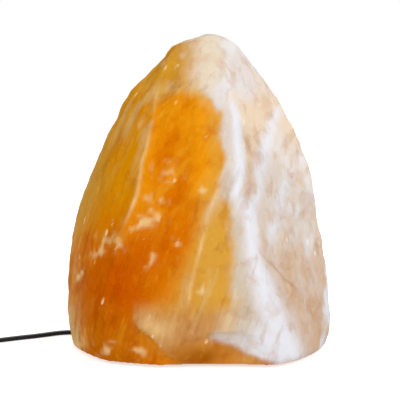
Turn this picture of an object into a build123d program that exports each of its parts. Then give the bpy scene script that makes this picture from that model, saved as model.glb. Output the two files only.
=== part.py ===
import os
from math import atan2, cos, hypot, radians, sin, sqrt, tan

from build123d import *

# A salt crystal lamp that stands without a wooden base. A rough lump of rock salt is sawn flat
# underneath and core-drilled from there. A small screw lamp holder with a pear-shaped bulb is
# held in the drilled bore by a sprung steel bracket. The flat twin cord drops out of the holder,
# leaves under the crystal through a milled groove, and ends, past a hand switch with a rocker,
# in a flat two-pin plug. The spare cord is wound in a coil beside the lamp.
#
# Millimetres. +X is right, +Y is away from the front and +Z is up. The origin is on the table,
# under the middle of the crystal, on the axis of the bore.

# ---------------------------------------------------------------- driving dimensions

# crystal
crystal_height = 245.0  # sawn face to peak
crystal_width = 210.0
crystal_depth = 172.0
bore_diameter = 52.0
bore_depth = 168.0
bore_end_fillet = 6.0
bore_mouth_chamfer = 1.5
groove_width = 12.0
groove_height = 7.0
groove_corner = 2.5
groove_azimuth = 162.0  # degrees, from +X towards +Y
foot_diameter = 14.0
foot_thickness = 2.5
foot_places = ((-62.0, -42.0), (58.0, -48.0), (60.0, 42.0), (-46.0, 50.0))

# lamp holder, from below
holder_height_over_table = 54.0  # underside of the holder's cap
holder_diameter = 28.0
holder_wall = 1.8
cap_height = 16.0
cap_foot_diameter = 18.0
cap_floor = 3.0
cap_shoulder = 6.0
spigot_height = 6.0
barrel_height = 38.0
barrel_lip = 2.0
shell_rim_fillet = 1.2
mouth_diameter = 18.0
flute_count = 18
flute_radius = 0.9
flute_margin = 4.0  # plain band above and below the flutes
fit_clearance = 0.1  # between pieces that are pushed or screwed together
edge_break = 0.5  # chamfers and fillets that take the sharpness off small pieces
wire_bend = 0.8  # bend radius of thin strips and wires
core_height = 9.0
core_groove_depth = 2.0
core_pocket_width = 5.0
core_pocket_depth = 3.0
sleeve_height = 20.0
sleeve_wall = 0.5
sleeve_play = 0.25  # around the bulb's cap
nipple_diameter = 10.0
nipple_bore = 7.0
nipple_under_cap = 12.0
nipple_in_cap = 8.0
nut_across_flats = 14.0
nut_thickness = 3.0
gland_diameter = 13.0
gland_height = 14.0
gland_edge_fillet = 1.5
gland_cord_depth = 5.0
gland_screw_diameter = 3.0
gland_screw_height = 2.6  # of its axis over the gland's underside
terminal_width = 5.0
terminal_height = 7.0
terminal_spacing = 13.0
terminal_screw_diameter = 2.6
terminal_screw_head = 3.8
terminal_screw_head_height = 1.2
strip_thickness = 0.4
strip_width = 4.0
tongue_rise = 3.2  # of the contact tongue over the core

# sprung bracket
bracket_thickness = 0.6
bracket_width = 12.0
bracket_rise = 44.0
bracket_foot = 15.5
bracket_bow_share = 0.55  # height of the widest place of an arm, as a share of its rise
bracket_tip_reach = 19.0
bracket_half_bend = 2.2  # how far inside the widest place an arm is, at 0.4 of its height
bracket_gap = 0.3  # to the wall of the bore

# bulb
bulb_diameter = 25.0
bulb_glass_length = 36.0
bulb_neck_diameter = 12.4
bulb_neck_length = 5.0
bulb_glass_wall = 0.6
bulb_shoulder_radius = 7.0
bulb_cap_diameter = 13.9
bulb_cap_length = 17.0
bulb_cap_wall = 0.4
bulb_cap_rim_diameter = 15.0
bulb_cap_rim_height = 3.0
bulb_insulator_height = 3.0
bulb_tip_diameter = 4.8
bulb_tip_height = 1.5
stem_flare_height = 4.0
stem_radius = 2.2
stem_height = 15.0
lead_radius = 0.35
lead_spread = 5.0
lead_rise = 7.0
filament_radius = 0.3
filament_sag = 3.0

# cord
cord_width = 5.2
cord_thickness = 3.2
cord_corner = 1.1
cord_table_gap = 0.06
core_diameter = 1.9
core_bend_radius = 1.0
cord_hole_clearance = 0.15
coil_radius = 41.0  # middle of the outermost turn
coil_half_turns = 7  # in the lower layer; the upper layer has one less
coil_turn_gap = 0.7
coil_layer_gap = 1.1

# hand switch
switch_middle = (-211.0, -19.0)
switch_heading = 206.0  # degrees, from the lamp's side to the plug's side
switch_length = 60.0
switch_width = 27.0
switch_end_width = 12.0
switch_middle_length = 32.0
switch_height = 16.0
switch_parting = 6.5  # also the height of the cord's middle in the switch
switch_wall = 1.8
switch_corner = 5.0
switch_edge_fillet = 2.2
switch_cord_depth = 7.0
window_length = 19.0
window_width = 12.0
window_collar_wall = 1.2
window_collar_height = 1.2
rocker_gap = 0.4
rocker_tilt = 10.0  # degrees either side of level
rocker_pivot_height = 11.6
rocker_pivot_diameter = 2.6
rocker_pivot_play = 0.3
rocker_ear_thickness = 1.4
rocker_ear_width = 7.0
rocker_ear_drop = 2.6  # below the pivot
rocker_end_radius = 9.25  # its ends are round about the pivot
rocker_crown = 6.0  # top of a wing over the pivot
rocker_dish = 1.3
rocker_skirt = 2.4
rocker_hub_width = 4.4
rocker_hub_drop = 3.4
plunger_diameter = 2.4
plunger_play = 0.15
plunger_bore_top = 3.4
spring_wire = 0.35
spring_turns = 4
seesaw_length = 14.0
seesaw_width = 4.4
seesaw_thickness = 0.6
seesaw_height = 5.2  # of its middle over the table
seesaw_ratio = 0.7  # its swing to the rocker's
seesaw_gap = 0.3
contact_reach = 5.5
contact_diameter = 2.4
contact_gap = 0.15
busbar_width = 6.6
busbar_offset = -1.5  # of its middle from the switch's middle line
busbar_thickness = 0.5
terminal_reach_in_switch = 14.0
terminal_offset_in_switch = -3.2
terminal_size_in_switch = (7.0, 5.0, 6.0)
switch_core_spacing = 2.0
through_core_offset = 4.2
switch_screw_diameter = 2.4
switch_screw_length = 9.5
switch_screw_head = 4.4
switch_screw_head_height = 1.5
switch_screw_recess = 0.8
switch_boss_diameter = 5.4
switch_boss_places = ((-11.5, 8.8), (11.5, -8.8))
clamp_reach = 25.5  # from the switch's middle
clamp_length = 4.0
clamp_width = 9.8
clamp_thickness = 1.4
clamp_screw_diameter = 1.6
clamp_screw_head = 2.8
clamp_screw_head_height = 0.9
clamp_screw_length = 5.0
clamp_screw_offset = 3.7

# flat two-pin plug
plug_width = 35.0
plug_thickness = 13.7
plug_length = 34.0
plug_front_width = 27.0
plug_shoulder = 12.0
plug_rear_width = 15.0
plug_side_bevel = 3.6
plug_end_corner = 1.5
plug_edge_fillet = 1.4
pin_diameter = 4.0
pin_length = 19.0
pin_spacing = 18.6
pin_toe_in = 1.5  # degrees
pin_root = 8.0
pin_sleeve_length = 10.0
pin_sleeve_wall = 0.45
relief_length = 24.0
relief_root_diameter = 10.4
relief_end_diameter = 7.6
relief_ring_count = 6
relief_ring_width = 1.3
relief_ring_depth = 1.0

# ---------------------------------------------------------------- derived places

crystal_base = foot_thickness
bore_radius = bore_diameter / 2
holder_radius = holder_diameter / 2
barrel_bore = holder_radius - holder_wall
cap_bottom = holder_height_over_table
cap_top = cap_bottom + cap_height
spigot_radius = barrel_bore - fit_clearance
spigot_bore = spigot_radius - holder_wall
spigot_top = cap_top + spigot_height
barrel_top = cap_top + barrel_height
core_bottom = spigot_top
core_top = core_bottom + core_height
sleeve_inner = bulb_cap_diameter / 2 + sleeve_play
sleeve_outer = sleeve_inner + sleeve_wall
sleeve_bottom = core_top - core_groove_depth
tongue_top = core_top + tongue_rise
bulb_bottom = tongue_top + fit_clearance
insulator_bottom = bulb_bottom + bulb_tip_height
bulb_cap_bottom = insulator_bottom + bulb_insulator_height
bulb_cap_top = bulb_cap_bottom + bulb_cap_length
glass_bottom = bulb_cap_top - bulb_neck_length
nipple_bottom = cap_bottom - nipple_under_cap
nipple_top = cap_bottom + nipple_in_cap
bracket_bottom = cap_bottom - bracket_thickness
gland_top = bracket_bottom - nut_thickness
gland_bottom = gland_top - gland_height
cord_start = gland_bottom + gland_cord_depth
cord_lie = cord_thickness / 2 + cord_table_gap  # height of the cord's middle on the table

# the holder's own plane has its X axis across the groove, as the flat cord has its width
across_groove = groove_azimuth - 90
holder_plane = Plane((0, 0, 0), x_dir=(cos(radians(across_groove)), sin(radians(across_groove)), 0))


def heading(angle):
    """The level direction at an angle from +X, in degrees."""
    return Vector(cos(radians(angle)), sin(radians(angle)), 0)


def level(base, height):
    """A plane parallel to a piece's base plane, at a height over the table."""
    return base.offset(height)


def turn_profile(*points, rounded=0.0, mode=Mode.ADD):
    """Revolve a closed outline of (radius, height) points about the bore's axis."""
    with BuildSketch(Plane.XZ) as outline:
        with BuildLine():
            Polyline(*points, close=True)
        make_face()
        if rounded:
            outer = outline.vertices().sort_by(Axis.X)[-2:]
            fillet(outer.sort_by(Axis.Y)[0], radius=rounded)
    revolve(outline.sketch, axis=Axis.Z, mode=mode)


def tube(outer, inner, bottom, height, mode=Mode.ADD):
    """A plain tube about the bore's axis."""
    with BuildSketch(Plane.XY.offset(bottom)) as section:
        Circle(outer)
        if inner:
            Circle(inner, mode=Mode.SUBTRACT)
    extrude(section.sketch, amount=height, mode=mode)


# ---------------------------------------------------------------- the crystal

# The lump is described by its eight upright edges. Each row is one level, as a share of the
# height, then how far its broad front faces swell between two edges, as a share of their width,
# and the edges' places as shares of half the width and half the depth, in the order left, front
# left, front, front right, right, back right, back, back left. The front faces swell at the foot
# and are hollow higher up, so that the edges beside them stand up as ridges.
crystal_levels = (
    (0.00, 0.07, ((-0.93, -0.20), (-0.66, -0.74), (0.38, -0.92), (0.67, -0.79),
                  (0.96, -0.12), (0.74, 0.68), (0.02, 0.93), (-0.72, 0.68))),
    (0.07, 0.06, ((-0.98, -0.12), (-0.67, -0.78), (0.31, -0.96), (0.62, -0.87),
                  (1.00, -0.09), (0.79, 0.71), (0.04, 0.98), (-0.77, 0.71))),
    (0.22, 0.01, ((-0.99, -0.05), (-0.64, -0.77), (0.08, -0.96), (0.49, -0.91),
                  (0.97, -0.05), (0.78, 0.70), (0.06, 1.00), (-0.78, 0.70))),
    (0.42, -0.02, ((-0.905, 0.00), (-0.53, -0.725), (-0.03, -0.87), (0.375, -0.845),
                   (0.90, 0.00), (0.70, 0.62), (0.08, 0.90), (-0.66, 0.66))),
    (0.62, -0.03, ((-0.74, 0.02), (-0.40, -0.62), (-0.03, -0.73), (0.305, -0.70),
                   (0.79, 0.05), (0.57, 0.54), (0.08, 0.74), (-0.51, 0.57))),
    (0.80, -0.03, ((-0.53, 0.05), (-0.305, -0.43), (0.00, -0.52), (0.25, -0.50),
                   (0.58, 0.05), (0.42, 0.40), (0.06, 0.54), (-0.33, 0.42))),
    (0.92, -0.02, ((-0.27, 0.03), (-0.19, -0.22), (0.03, -0.31), (0.20, -0.29),
                   (0.38, 0.02), (0.29, 0.24), (0.08, 0.31), (-0.14, 0.25))),
    (1.00, -0.01, ((-0.16, 0.01), (-0.10, -0.15), (0.03, -0.20), (0.15, -0.18),
                   (0.25, 0.01), (0.19, 0.15), (0.06, 0.19), (-0.06, 0.15))),
)
side_bulge = 0.05  # how far the other faces swell, as a share of their width

# Flat breaks that cut the rounded lump. Each has the azimuth and the rise of the direction it
# faces, in degrees, and the distance at which it passes the lump's middle, as a share of the
# height.
crystal_breaks = (
    (178.0, 70.0, 0.462),  # left half of the blunt summit
    (8.0, 72.0, 0.487),  # right half of the blunt summit
    (272.0, 36.0, 0.332),  # front, over the broad face
    (238.0, 34.0, 0.313),  # front left, under the summit
    (325.0, 34.0, 0.336),  # front right, under the summit
    (100.0, 22.0, 0.262),  # back
    (110.0, 42.0, 0.352),  # back, under the summit
    (145.0, 14.0, 0.315),  # back left
    (38.0, 18.0, 0.307),  # back right
    (75.0, -12.0, 0.405),  # foot at the back
)
scar_length = 300.0  # the hollow break at the foot of the front
scar_radius = 46.0
scar_bite = 7.0
scar_place = (20.0, 2.0)  # right of the bore and over the table
scar_turn = -2.0  # degrees about the vertical
scar_roll = -5.0  # degrees about the direction away from the front

with BuildPart() as salt_crystal:
    for share, front_bulge, places in crystal_levels:
        corners = [(x * crystal_width / 2, y * crystal_depth / 2) for x, y in places]
        bulges = [side_bulge] + 3 * [front_bulge] + 4 * [side_bulge]
        with BuildSketch(Plane.XY.offset(crystal_base + share * crystal_height)):
            with BuildLine():
                for a, b, bulge in zip(corners, corners[1:] + corners[:1], bulges):
                    swell_x = (a[0] + b[0]) / 2 + bulge * (b[1] - a[1])
                    swell_y = (a[1] + b[1]) / 2 + bulge * (a[0] - b[0])
                    ThreePointArc(a, (swell_x, swell_y), b)
            make_face()
    loft()
    for azimuth, rise, distance in crystal_breaks:
        outward = heading(azimuth) * cos(radians(rise)) + Vector(0, 0, sin(radians(rise)))
        middle = Vector(0, 0, crystal_base + crystal_height / 2)
        facing = Plane(middle + outward * distance * crystal_height, z_dir=outward)
        split(bisect_by=facing, keep=Keep.BOTTOM)
    scar_front = -0.94 * crystal_depth / 2 + scar_bite - scar_radius
    scar_plane = Plane((scar_place[0], scar_front, scar_place[1]))
    scar_plane = scar_plane.rotated((0, scar_roll, scar_turn))
    with BuildSketch(scar_plane):
        with BuildLine():
            ThreePointArc((-scar_length / 2, 0), (0, scar_radius), (scar_length / 2, 0))
            Line((scar_length / 2, 0), (-scar_length / 2, 0))
        make_face()
    revolve(axis=Axis(scar_plane.origin, scar_plane.x_dir), mode=Mode.SUBTRACT)
    with BuildSketch(Plane.XY.offset(crystal_base)):
        Circle(bore_radius)
    extrude(amount=bore_depth, mode=Mode.SUBTRACT)
    bore_rims = salt_crystal.edges().filter_by(GeomType.CIRCLE)
    bore_rims = bore_rims.filter_by(lambda edge: abs(edge.radius - bore_radius) < 0.01)
    fillet(bore_rims.sort_by(Axis.Z)[-1], radius=bore_end_fillet)
    bore_rims = salt_crystal.edges().filter_by(GeomType.CIRCLE)
    bore_rims = bore_rims.filter_by(lambda edge: abs(edge.radius - bore_radius) < 0.01)
    chamfer(bore_rims.sort_by(Axis.Z)[0], length=bore_mouth_chamfer)
    groove_plane = Plane((0, 0, crystal_base), x_dir=holder_plane.x_dir, z_dir=heading(groove_azimuth))
    with BuildSketch(groove_plane):
        Rectangle(groove_width, 2 * groove_height)
        fillet(vertices(), radius=groove_corner)
    extrude(amount=crystal_width, mode=Mode.SUBTRACT)

with BuildPart() as felt_feet:
    with BuildSketch(Plane.XY):
        with Locations(*foot_places):
            Circle(foot_diameter / 2)
    extrude(amount=foot_thickness)

# ---------------------------------------------------------------- the sprung bracket

# The strip's plate is clamped under the holder. Its two arms turn up and bow out to the wall.
bracket_reach = sqrt(bore_radius**2 - (bracket_width / 2) ** 2) - bracket_gap - bracket_thickness / 2
bracket_line = bracket_bottom + bracket_thickness / 2
bracket_bow = bracket_line + bracket_bow_share * bracket_rise

with BuildPart() as spring_bracket:
    with BuildSketch(Plane.XZ) as strip:
        with BuildLine() as right_arm:
            foot = (bracket_foot, bracket_line)
            bow = (bracket_reach, bracket_bow)
            tip = (bracket_tip_reach, bracket_line + bracket_rise)
            half_bend = bracket_line + 0.4 * (bracket_bow - bracket_line)
            Line((0, bracket_line), foot)
            ThreePointArc(foot, (bracket_reach - bracket_half_bend, half_bend), bow)
            TangentArc(bow, tip, tangent=(0, 1))
        with BuildLine():
            mirror(right_arm.line, about=Plane.YZ)
        trace(line_width=bracket_thickness)
    extrude(amount=bracket_width / 2, both=True)
    tube(nipple_diameter / 2 + fit_clearance, 0, bracket_bottom - 1, 3, mode=Mode.SUBTRACT)

# ---------------------------------------------------------------- the lamp holder

with BuildPart() as holder_cap:
    turn_profile(
        (nipple_diameter / 2 + fit_clearance, cap_bottom),
        (cap_foot_diameter / 2, cap_bottom),
        (holder_radius, cap_bottom + cap_shoulder),
        (holder_radius, cap_top),
        (spigot_radius, cap_top),
        (spigot_radius, spigot_top),
        (spigot_bore, spigot_top),
        (spigot_bore, cap_bottom + cap_shoulder),
        (cap_foot_diameter / 2 - holder_wall, cap_bottom + cap_floor),
        (nipple_diameter / 2 + fit_clearance, cap_bottom + cap_floor),
    )
    shoulders = holder_cap.edges().filter_by(GeomType.CIRCLE).group_by(SortBy.RADIUS)[-1]
    fillet(shoulders.sort_by(Axis.Z)[0], radius=holder_wall)

with BuildPart() as holder_shell:
    tube(holder_radius, barrel_bore, cap_top, barrel_height)
    with BuildSketch(Plane.XY.offset(barrel_top - barrel_lip)):
        Circle(barrel_bore + fit_clearance)
        Circle(mouth_diameter / 2, mode=Mode.SUBTRACT)
    extrude(amount=barrel_lip)
    fillet(holder_shell.edges().group_by(Axis.Z)[-1].sort_by(SortBy.RADIUS)[-1], radius=shell_rim_fillet)
    with BuildSketch(Plane.XY.offset(cap_top + flute_margin)):
        with PolarLocations(holder_radius, flute_count):
            Circle(flute_radius)
    extrude(amount=barrel_height - 2 * flute_margin, mode=Mode.SUBTRACT)

terminal_reach = terminal_spacing / 2
tongue_foot = terminal_reach - 1.2
side_strip_middle = sleeve_outer + fit_clearance + strip_thickness / 2

with BuildPart() as holder_core:
    with BuildSketch(level(holder_plane, core_bottom)):
        Circle(spigot_radius)
    extrude(amount=core_height)
    with BuildSketch(level(holder_plane, sleeve_bottom)):
        Circle(sleeve_outer + fit_clearance)
        Circle(sleeve_inner - fit_clearance, mode=Mode.SUBTRACT)
    extrude(amount=core_groove_depth, mode=Mode.SUBTRACT)
    with BuildSketch(level(holder_plane, core_top - core_pocket_depth)):
        Rectangle(2 * tongue_foot + 2, core_pocket_width)
    extrude(amount=core_pocket_depth, mode=Mode.SUBTRACT)
    with BuildSketch(level(holder_plane, core_bottom)):
        with Locations((tongue_foot, 0), (-side_strip_middle, 0)):
            Rectangle(strip_thickness + 2 * fit_clearance, strip_width + 2 * fit_clearance)
    extrude(amount=core_height, mode=Mode.SUBTRACT)
    lower_rims = holder_core.edges().filter_by(GeomType.CIRCLE).group_by(Axis.Z)[0]
    chamfer(lower_rims.sort_by(SortBy.RADIUS)[-1], length=edge_break)

with BuildPart() as thread_sleeve:
    tube(sleeve_outer, sleeve_inner, sleeve_bottom, sleeve_height)

contact_plane = Plane((0, 0, 0), x_dir=holder_plane.x_dir, z_dir=-holder_plane.y_dir)

with BuildPart() as centre_contact:
    with BuildSketch(contact_plane):
        with BuildLine() as tongue:
            tongue_line = tongue_top - strip_thickness / 2
            FilletPolyline(
                (tongue_foot, core_bottom),
                (tongue_foot, core_top + 0.6),
                (1.5, tongue_line),
                (-2.0, tongue_line),
                (-4.0, tongue_line - 1.2),
                radius=wire_bend,
            )
        trace(line_width=strip_thickness)
    extrude(amount=strip_width / 2, both=True)

with BuildPart() as side_contact:
    with BuildSketch(level(holder_plane, core_bottom)):
        with Locations((-side_strip_middle, 0)):
            Rectangle(strip_thickness, strip_width)
    extrude(amount=core_height + sleeve_height / 3)

with BuildPart() as terminal_blocks:
    with BuildSketch(level(holder_plane, core_bottom - terminal_height)):
        with Locations((-terminal_reach, 0), (terminal_reach, 0)):
            Rectangle(terminal_width, terminal_width)
    extrude(amount=terminal_height)
    chamfer(terminal_blocks.edges().filter_by(Axis.Z), length=edge_break)
    with BuildSketch(level(holder_plane, core_bottom - terminal_height)):
        with Locations((-terminal_reach, 0), (terminal_reach, 0)):
            Circle(core_diameter / 2 + fit_clearance)
    extrude(amount=terminal_height - 2.0, mode=Mode.SUBTRACT)
    with BuildSketch(contact_plane.offset(terminal_width / 2)):
        with Locations((-terminal_reach, core_bottom - terminal_height / 2),
                       (terminal_reach, core_bottom - terminal_height / 2)):
            Circle(terminal_screw_diameter / 2 + fit_clearance)
    extrude(amount=-terminal_width / 2, mode=Mode.SUBTRACT)

with BuildPart() as terminal_screws:
    with BuildSketch(contact_plane.offset(core_diameter / 2)):
        with Locations((-terminal_reach, core_bottom - terminal_height / 2),
                       (terminal_reach, core_bottom - terminal_height / 2)):
            Circle(terminal_screw_diameter / 2)
    extrude(amount=terminal_width / 2 - core_diameter / 2)
    with BuildSketch(contact_plane.offset(terminal_width / 2)):
        with Locations((-terminal_reach, core_bottom - terminal_height / 2),
                       (terminal_reach, core_bottom - terminal_height / 2)):
            Circle(terminal_screw_head / 2)
    extrude(amount=terminal_screw_head_height)
    with BuildSketch(contact_plane.offset(terminal_width / 2 + terminal_screw_head_height)):
        with Locations((-terminal_reach, core_bottom - terminal_height / 2),
                       (terminal_reach, core_bottom - terminal_height / 2)):
            Rectangle(0.6, terminal_screw_head + 1)
    extrude(amount=-0.6, mode=Mode.SUBTRACT)

with BuildPart() as nipple:
    tube(nipple_diameter / 2, nipple_bore / 2, nipple_bottom, nipple_top - nipple_bottom)
    chamfer(nipple.edges().group_by(Axis.Z)[-1].sort_by(SortBy.RADIUS)[-1], length=edge_break)

with BuildPart() as nipple_nut:
    with BuildSketch(Plane.XY.offset(gland_top)):
        RegularPolygon(nut_across_flats / 2, 6, major_radius=False)
        Circle(nipple_diameter / 2 + fit_clearance, mode=Mode.SUBTRACT)
    extrude(amount=nut_thickness)

gland_screw_level = gland_bottom + gland_screw_height
gland_screw_plane = Plane((0, 0, gland_screw_level), x_dir=holder_plane.x_dir,
                          z_dir=heading(groove_azimuth + 180))

with BuildPart() as cord_gland:
    tube(gland_diameter / 2, 0, gland_bottom, gland_height)
    fillet(cord_gland.edges().group_by(Axis.Z)[0], radius=gland_edge_fillet)
    tube(nipple_diameter / 2 + fit_clearance, 0, nipple_bottom - fit_clearance,
         gland_top - nipple_bottom + fit_clearance, mode=Mode.SUBTRACT)
    with BuildSketch(level(holder_plane, gland_bottom)):
        RectangleRounded(cord_width + 2 * cord_hole_clearance, cord_thickness + 2 * cord_hole_clearance,
                         cord_corner)
    extrude(amount=gland_cord_depth, mode=Mode.SUBTRACT)
    with BuildSketch(level(holder_plane, cord_start)):
        SlotOverall(2 * core_diameter + 0.4, core_diameter + 0.4)
    extrude(amount=gland_height, mode=Mode.SUBTRACT)
    with BuildSketch(gland_screw_plane):
        Circle(gland_screw_diameter / 2 + fit_clearance)
    extrude(amount=gland_diameter, mode=Mode.SUBTRACT)

with BuildPart() as gland_screw:
    with BuildSketch(gland_screw_plane.offset(cord_thickness / 2)):
        Circle(gland_screw_diameter / 2)
    extrude(amount=gland_diameter / 2 - cord_thickness / 2 - 0.5)
    with BuildSketch(gland_screw_plane.offset(gland_diameter / 2 - 0.5)):
        Rectangle(0.7, gland_screw_diameter + 1)
    extrude(amount=-1.0, mode=Mode.SUBTRACT)

lead_middle = core_diameter / 2 + 0.05

with BuildPart() as holder_leads:
    for side in (-1, 1):
        with BuildLine(contact_plane) as lead:
            FilletPolyline(
                (side * lead_middle, cord_start),
                (side * lead_middle, nipple_top + 0.5),
                (side * terminal_reach, core_bottom - terminal_height - 1.2),
                (side * terminal_reach, core_bottom - 2.0),
                radius=core_bend_radius,
            )
        with BuildSketch(Plane(origin=lead.line @ 0, z_dir=lead.line % 0)):
            Circle(core_diameter / 2)
        sweep(path=lead.line)

# ---------------------------------------------------------------- the bulb

bulb_radius = bulb_diameter / 2
crown_centre = glass_bottom + bulb_glass_length - bulb_radius


def glass_form(inset, mode=Mode.ADD):
    """Revolve the pear: a neck, a cone tangent to the crown, and the round crown."""
    neck = bulb_neck_diameter / 2 - inset
    radius = bulb_radius - inset
    shoulder = glass_bottom + bulb_neck_length + 1.0
    rise = crown_centre - shoulder
    reach = hypot(neck, rise)
    lean = atan2(neck, rise) + atan2(sqrt(reach**2 - radius**2), radius)
    touch = (radius * sin(lean), crown_centre - radius * cos(lean))
    with BuildSketch(Plane.XZ) as pear:
        with BuildLine():
            Polyline((0, crown_centre + radius), (0, glass_bottom), (neck, glass_bottom), (neck, shoulder), touch)
            ThreePointArc(touch, (radius * sin(radians(100)), crown_centre - radius * cos(radians(100))),
                          (0, crown_centre + radius))
        make_face()
        waist = pear.vertices().filter_by_position(Axis.Y, shoulder - 0.01, shoulder + 0.01)
        fillet(waist, radius=bulb_shoulder_radius)
    revolve(pear.sketch, axis=Axis.Z, mode=mode)


with BuildPart() as bulb_glass:
    glass_form(0)
    glass_form(bulb_glass_wall, mode=Mode.SUBTRACT)

with BuildPart() as bulb_cap:
    cap_outer = bulb_cap_diameter / 2
    rim_outer = bulb_cap_rim_diameter / 2
    rim_start = bulb_cap_top - bulb_cap_rim_height
    turn_profile(
        (bulb_tip_diameter / 2 + 2.4, bulb_cap_bottom),
        (cap_outer - 0.8, bulb_cap_bottom),
        (cap_outer, bulb_cap_bottom + 1.2),
        (cap_outer, rim_start),
        (rim_outer, bulb_cap_top - 1),
        (rim_outer, bulb_cap_top),
        (rim_outer - bulb_cap_wall, bulb_cap_top),
        (rim_outer - bulb_cap_wall, bulb_cap_top - 1),
        (cap_outer - bulb_cap_wall, rim_start),
        (cap_outer - bulb_cap_wall, bulb_cap_bottom + 1.2 + bulb_cap_wall),
        (cap_outer - 1.0, bulb_cap_bottom + bulb_cap_wall),
        (bulb_tip_diameter / 2 + 2.4, bulb_cap_bottom + bulb_cap_wall),
    )

with BuildPart() as bulb_insulator:
    turn_profile(
        (0, insulator_bottom),
        (bulb_tip_diameter / 2 + 0.4, insulator_bottom),
        (bulb_cap_diameter / 2 - 1.0, bulb_cap_bottom),
        (bulb_tip_diameter / 2 + 2.4 - fit_clearance, bulb_cap_bottom),
        (bulb_tip_diameter / 2 + 2.0, bulb_cap_bottom + 1.0),
        (0, bulb_cap_bottom + 1.0),
    )

with BuildPart() as bulb_tip:
    turn_profile(
        (0, bulb_bottom),
        (bulb_tip_diameter / 4, bulb_bottom + 0.1),
        (bulb_tip_diameter / 2, bulb_bottom + bulb_tip_height / 2),
        (bulb_tip_diameter / 2, insulator_bottom),
        (0, insulator_bottom),
    )

stem_bottom = glass_bottom + bulb_glass_wall
stem_top = stem_bottom + stem_height

with BuildPart() as bulb_stem:
    turn_profile(
        (0, stem_bottom),
        (bulb_neck_diameter / 2 - bulb_glass_wall - fit_clearance, stem_bottom),
        (bulb_neck_diameter / 2 - bulb_glass_wall - 1.6, stem_bottom + 1.2),
        (stem_radius, stem_bottom + stem_flare_height),
        (stem_radius, stem_top),
        (0, stem_top),
    )
    with BuildSketch(Plane.XZ):
        with Locations((0, stem_top - 1.5)):
            Rectangle(2 * stem_radius, 5.0)
    extrude(amount=stem_radius * 0.75, both=True)

filament_level = stem_top + lead_rise

with BuildPart() as bulb_lead_wires:
    for side in (-1, 1):
        with BuildLine(Plane.XZ) as wire:
            FilletPolyline(
                (side * stem_radius * 0.6, stem_top + 1.0),
                (side * stem_radius * 0.6, stem_top + 2.5),
                (side * lead_spread, filament_level - 1.5),
                (side * lead_spread, filament_level + 0.8),
                radius=wire_bend,
            )
        with BuildSketch(Plane(origin=wire.line @ 0, z_dir=wire.line % 0)):
            RegularPolygon(lead_radius, 8)
        sweep(path=wire.line)

filament_reach = lead_spread - lead_radius - filament_radius

with BuildPart() as filament:
    with BuildLine(Plane.XZ) as arch:
        ThreePointArc(
            (-filament_reach, filament_level),
            (0, filament_level + filament_sag),
            (filament_reach, filament_level),
        )
    with BuildSketch(Plane(origin=arch.line @ 0, z_dir=arch.line % 0)):
        RegularPolygon(filament_radius, 8)
    sweep(path=arch.line)

# ---------------------------------------------------------------- the cord


def corner_radii(route):
    """For each corner, the arc that takes up 0.45 of its shorter run."""
    radii = []
    for before, corner, after in zip(route, route[1:], route[2:]):
        run_in = Vector(*corner) - Vector(*before)
        run_out = Vector(*after) - Vector(*corner)
        half_turn = radians(run_in.get_angle(run_out) / 2)
        radii.append(0.45 * min(run_in.length, run_out.length) / tan(half_turn))
    return radii


def cord_section(path, across):
    """The flat cord's section at the start of its path, with its width along across."""
    with BuildSketch(Plane(origin=path @ 0, x_dir=across, z_dir=path % 0)) as section:
        Rectangle(cord_width, cord_thickness)
        chamfer(section.vertices(), length=cord_corner)
    return section.sketch


def cord_report(name, part, path):
    """Print how a stretch of cord compares with its section times its length."""
    section = cord_width * cord_thickness - 2 * cord_corner**2
    print(f"{name}: {path.length:.1f} mm, volume ratio {part.volume / (section * path.length):.4f}")


upper_layer = cord_lie + cord_thickness + coil_layer_gap
plug_middle = plug_thickness / 2

route_to_switch = [
    (0.0, 0.0, cord_start),
    (0.0, 0.0, 24.6),
    (-8.0, 2.6, 10.0),
    (-21.9, 7.1, cord_lie),
    (-40.3, 11.8, cord_lie),
    (-58.7, 20.1, cord_lie),
    (-80.1, 25.4, cord_lie),
    (-98.0, 34.5, cord_lie),
    (-113.0, 32.5, cord_lie),
    (-130.0, 21.5, cord_lie),
    (-146.0, 14.2, cord_lie),
    (-166.5, 2.6, cord_lie),
    (-178.6, -3.2, switch_parting),
    (-190.3, -8.9, switch_parting),
]
route_to_coil = [
    (-231.7, -29.1, switch_parting),
    (-243.3, -34.8, switch_parting),
    (-255.4, -40.7, cord_lie),
    (-266.5, -45.2, cord_lie),
]
route_to_plug = [
    (-278.5, -43.8, upper_layer),
    (-299.4, -52.2, upper_layer),
    (-318.0, -59.4, cord_lie),
    (-332.0, -60.6, cord_lie),
    (-344.9, -55.2, cord_lie),
    (-354.8, -45.0, cord_lie),
    (-360.1, -31.5, cord_lie),
    (-360.4, -15.8, plug_middle),
    (-360.4, -2.0, plug_middle),
]
coil_heading = 202.0  # degrees, of the cord where it enters and leaves the coil

# The coil winds in through the lower layer, climbs in the half turn where it reverses, and winds
# out through the upper layer. Its half turns are arcs whose diameters lie on one line.
coil_pitch = cord_width + coil_turn_gap
coil_inward = [coil_radius - index * coil_pitch / 2 for index in range(coil_half_turns)]
coil_radii = coil_inward + [coil_inward[-1] - coil_pitch / 2] + coil_inward[:0:-1]
coil_forward = heading(coil_heading)
coil_side = heading(coil_heading - 90)

with BuildLine() as coil_line:
    lead_in = Vector(*route_to_coil[-1])
    place = lead_in + coil_forward * cord_width
    Line(lead_in, place)
    for index, radius in enumerate(coil_radii):
        way = 1 if index % 2 == 0 else -1
        climb = upper_layer - cord_lie if index == coil_half_turns else 0.0
        opposite = place + coil_side * 2 * radius * way + Vector(0, 0, climb)
        crest = (place + opposite) * 0.5 + coil_forward * hypot(radius, climb / 2) * way
        ThreePointArc(place, crest, opposite)
        place = opposite
    Line(place, place + coil_forward * cord_width)
coil_path = coil_line.wire()

with BuildPart() as cord_coil:
    sweep(cord_section(coil_path, coil_side), path=coil_path)
cord_report("cord_coil", cord_coil.part, coil_path)

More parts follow.
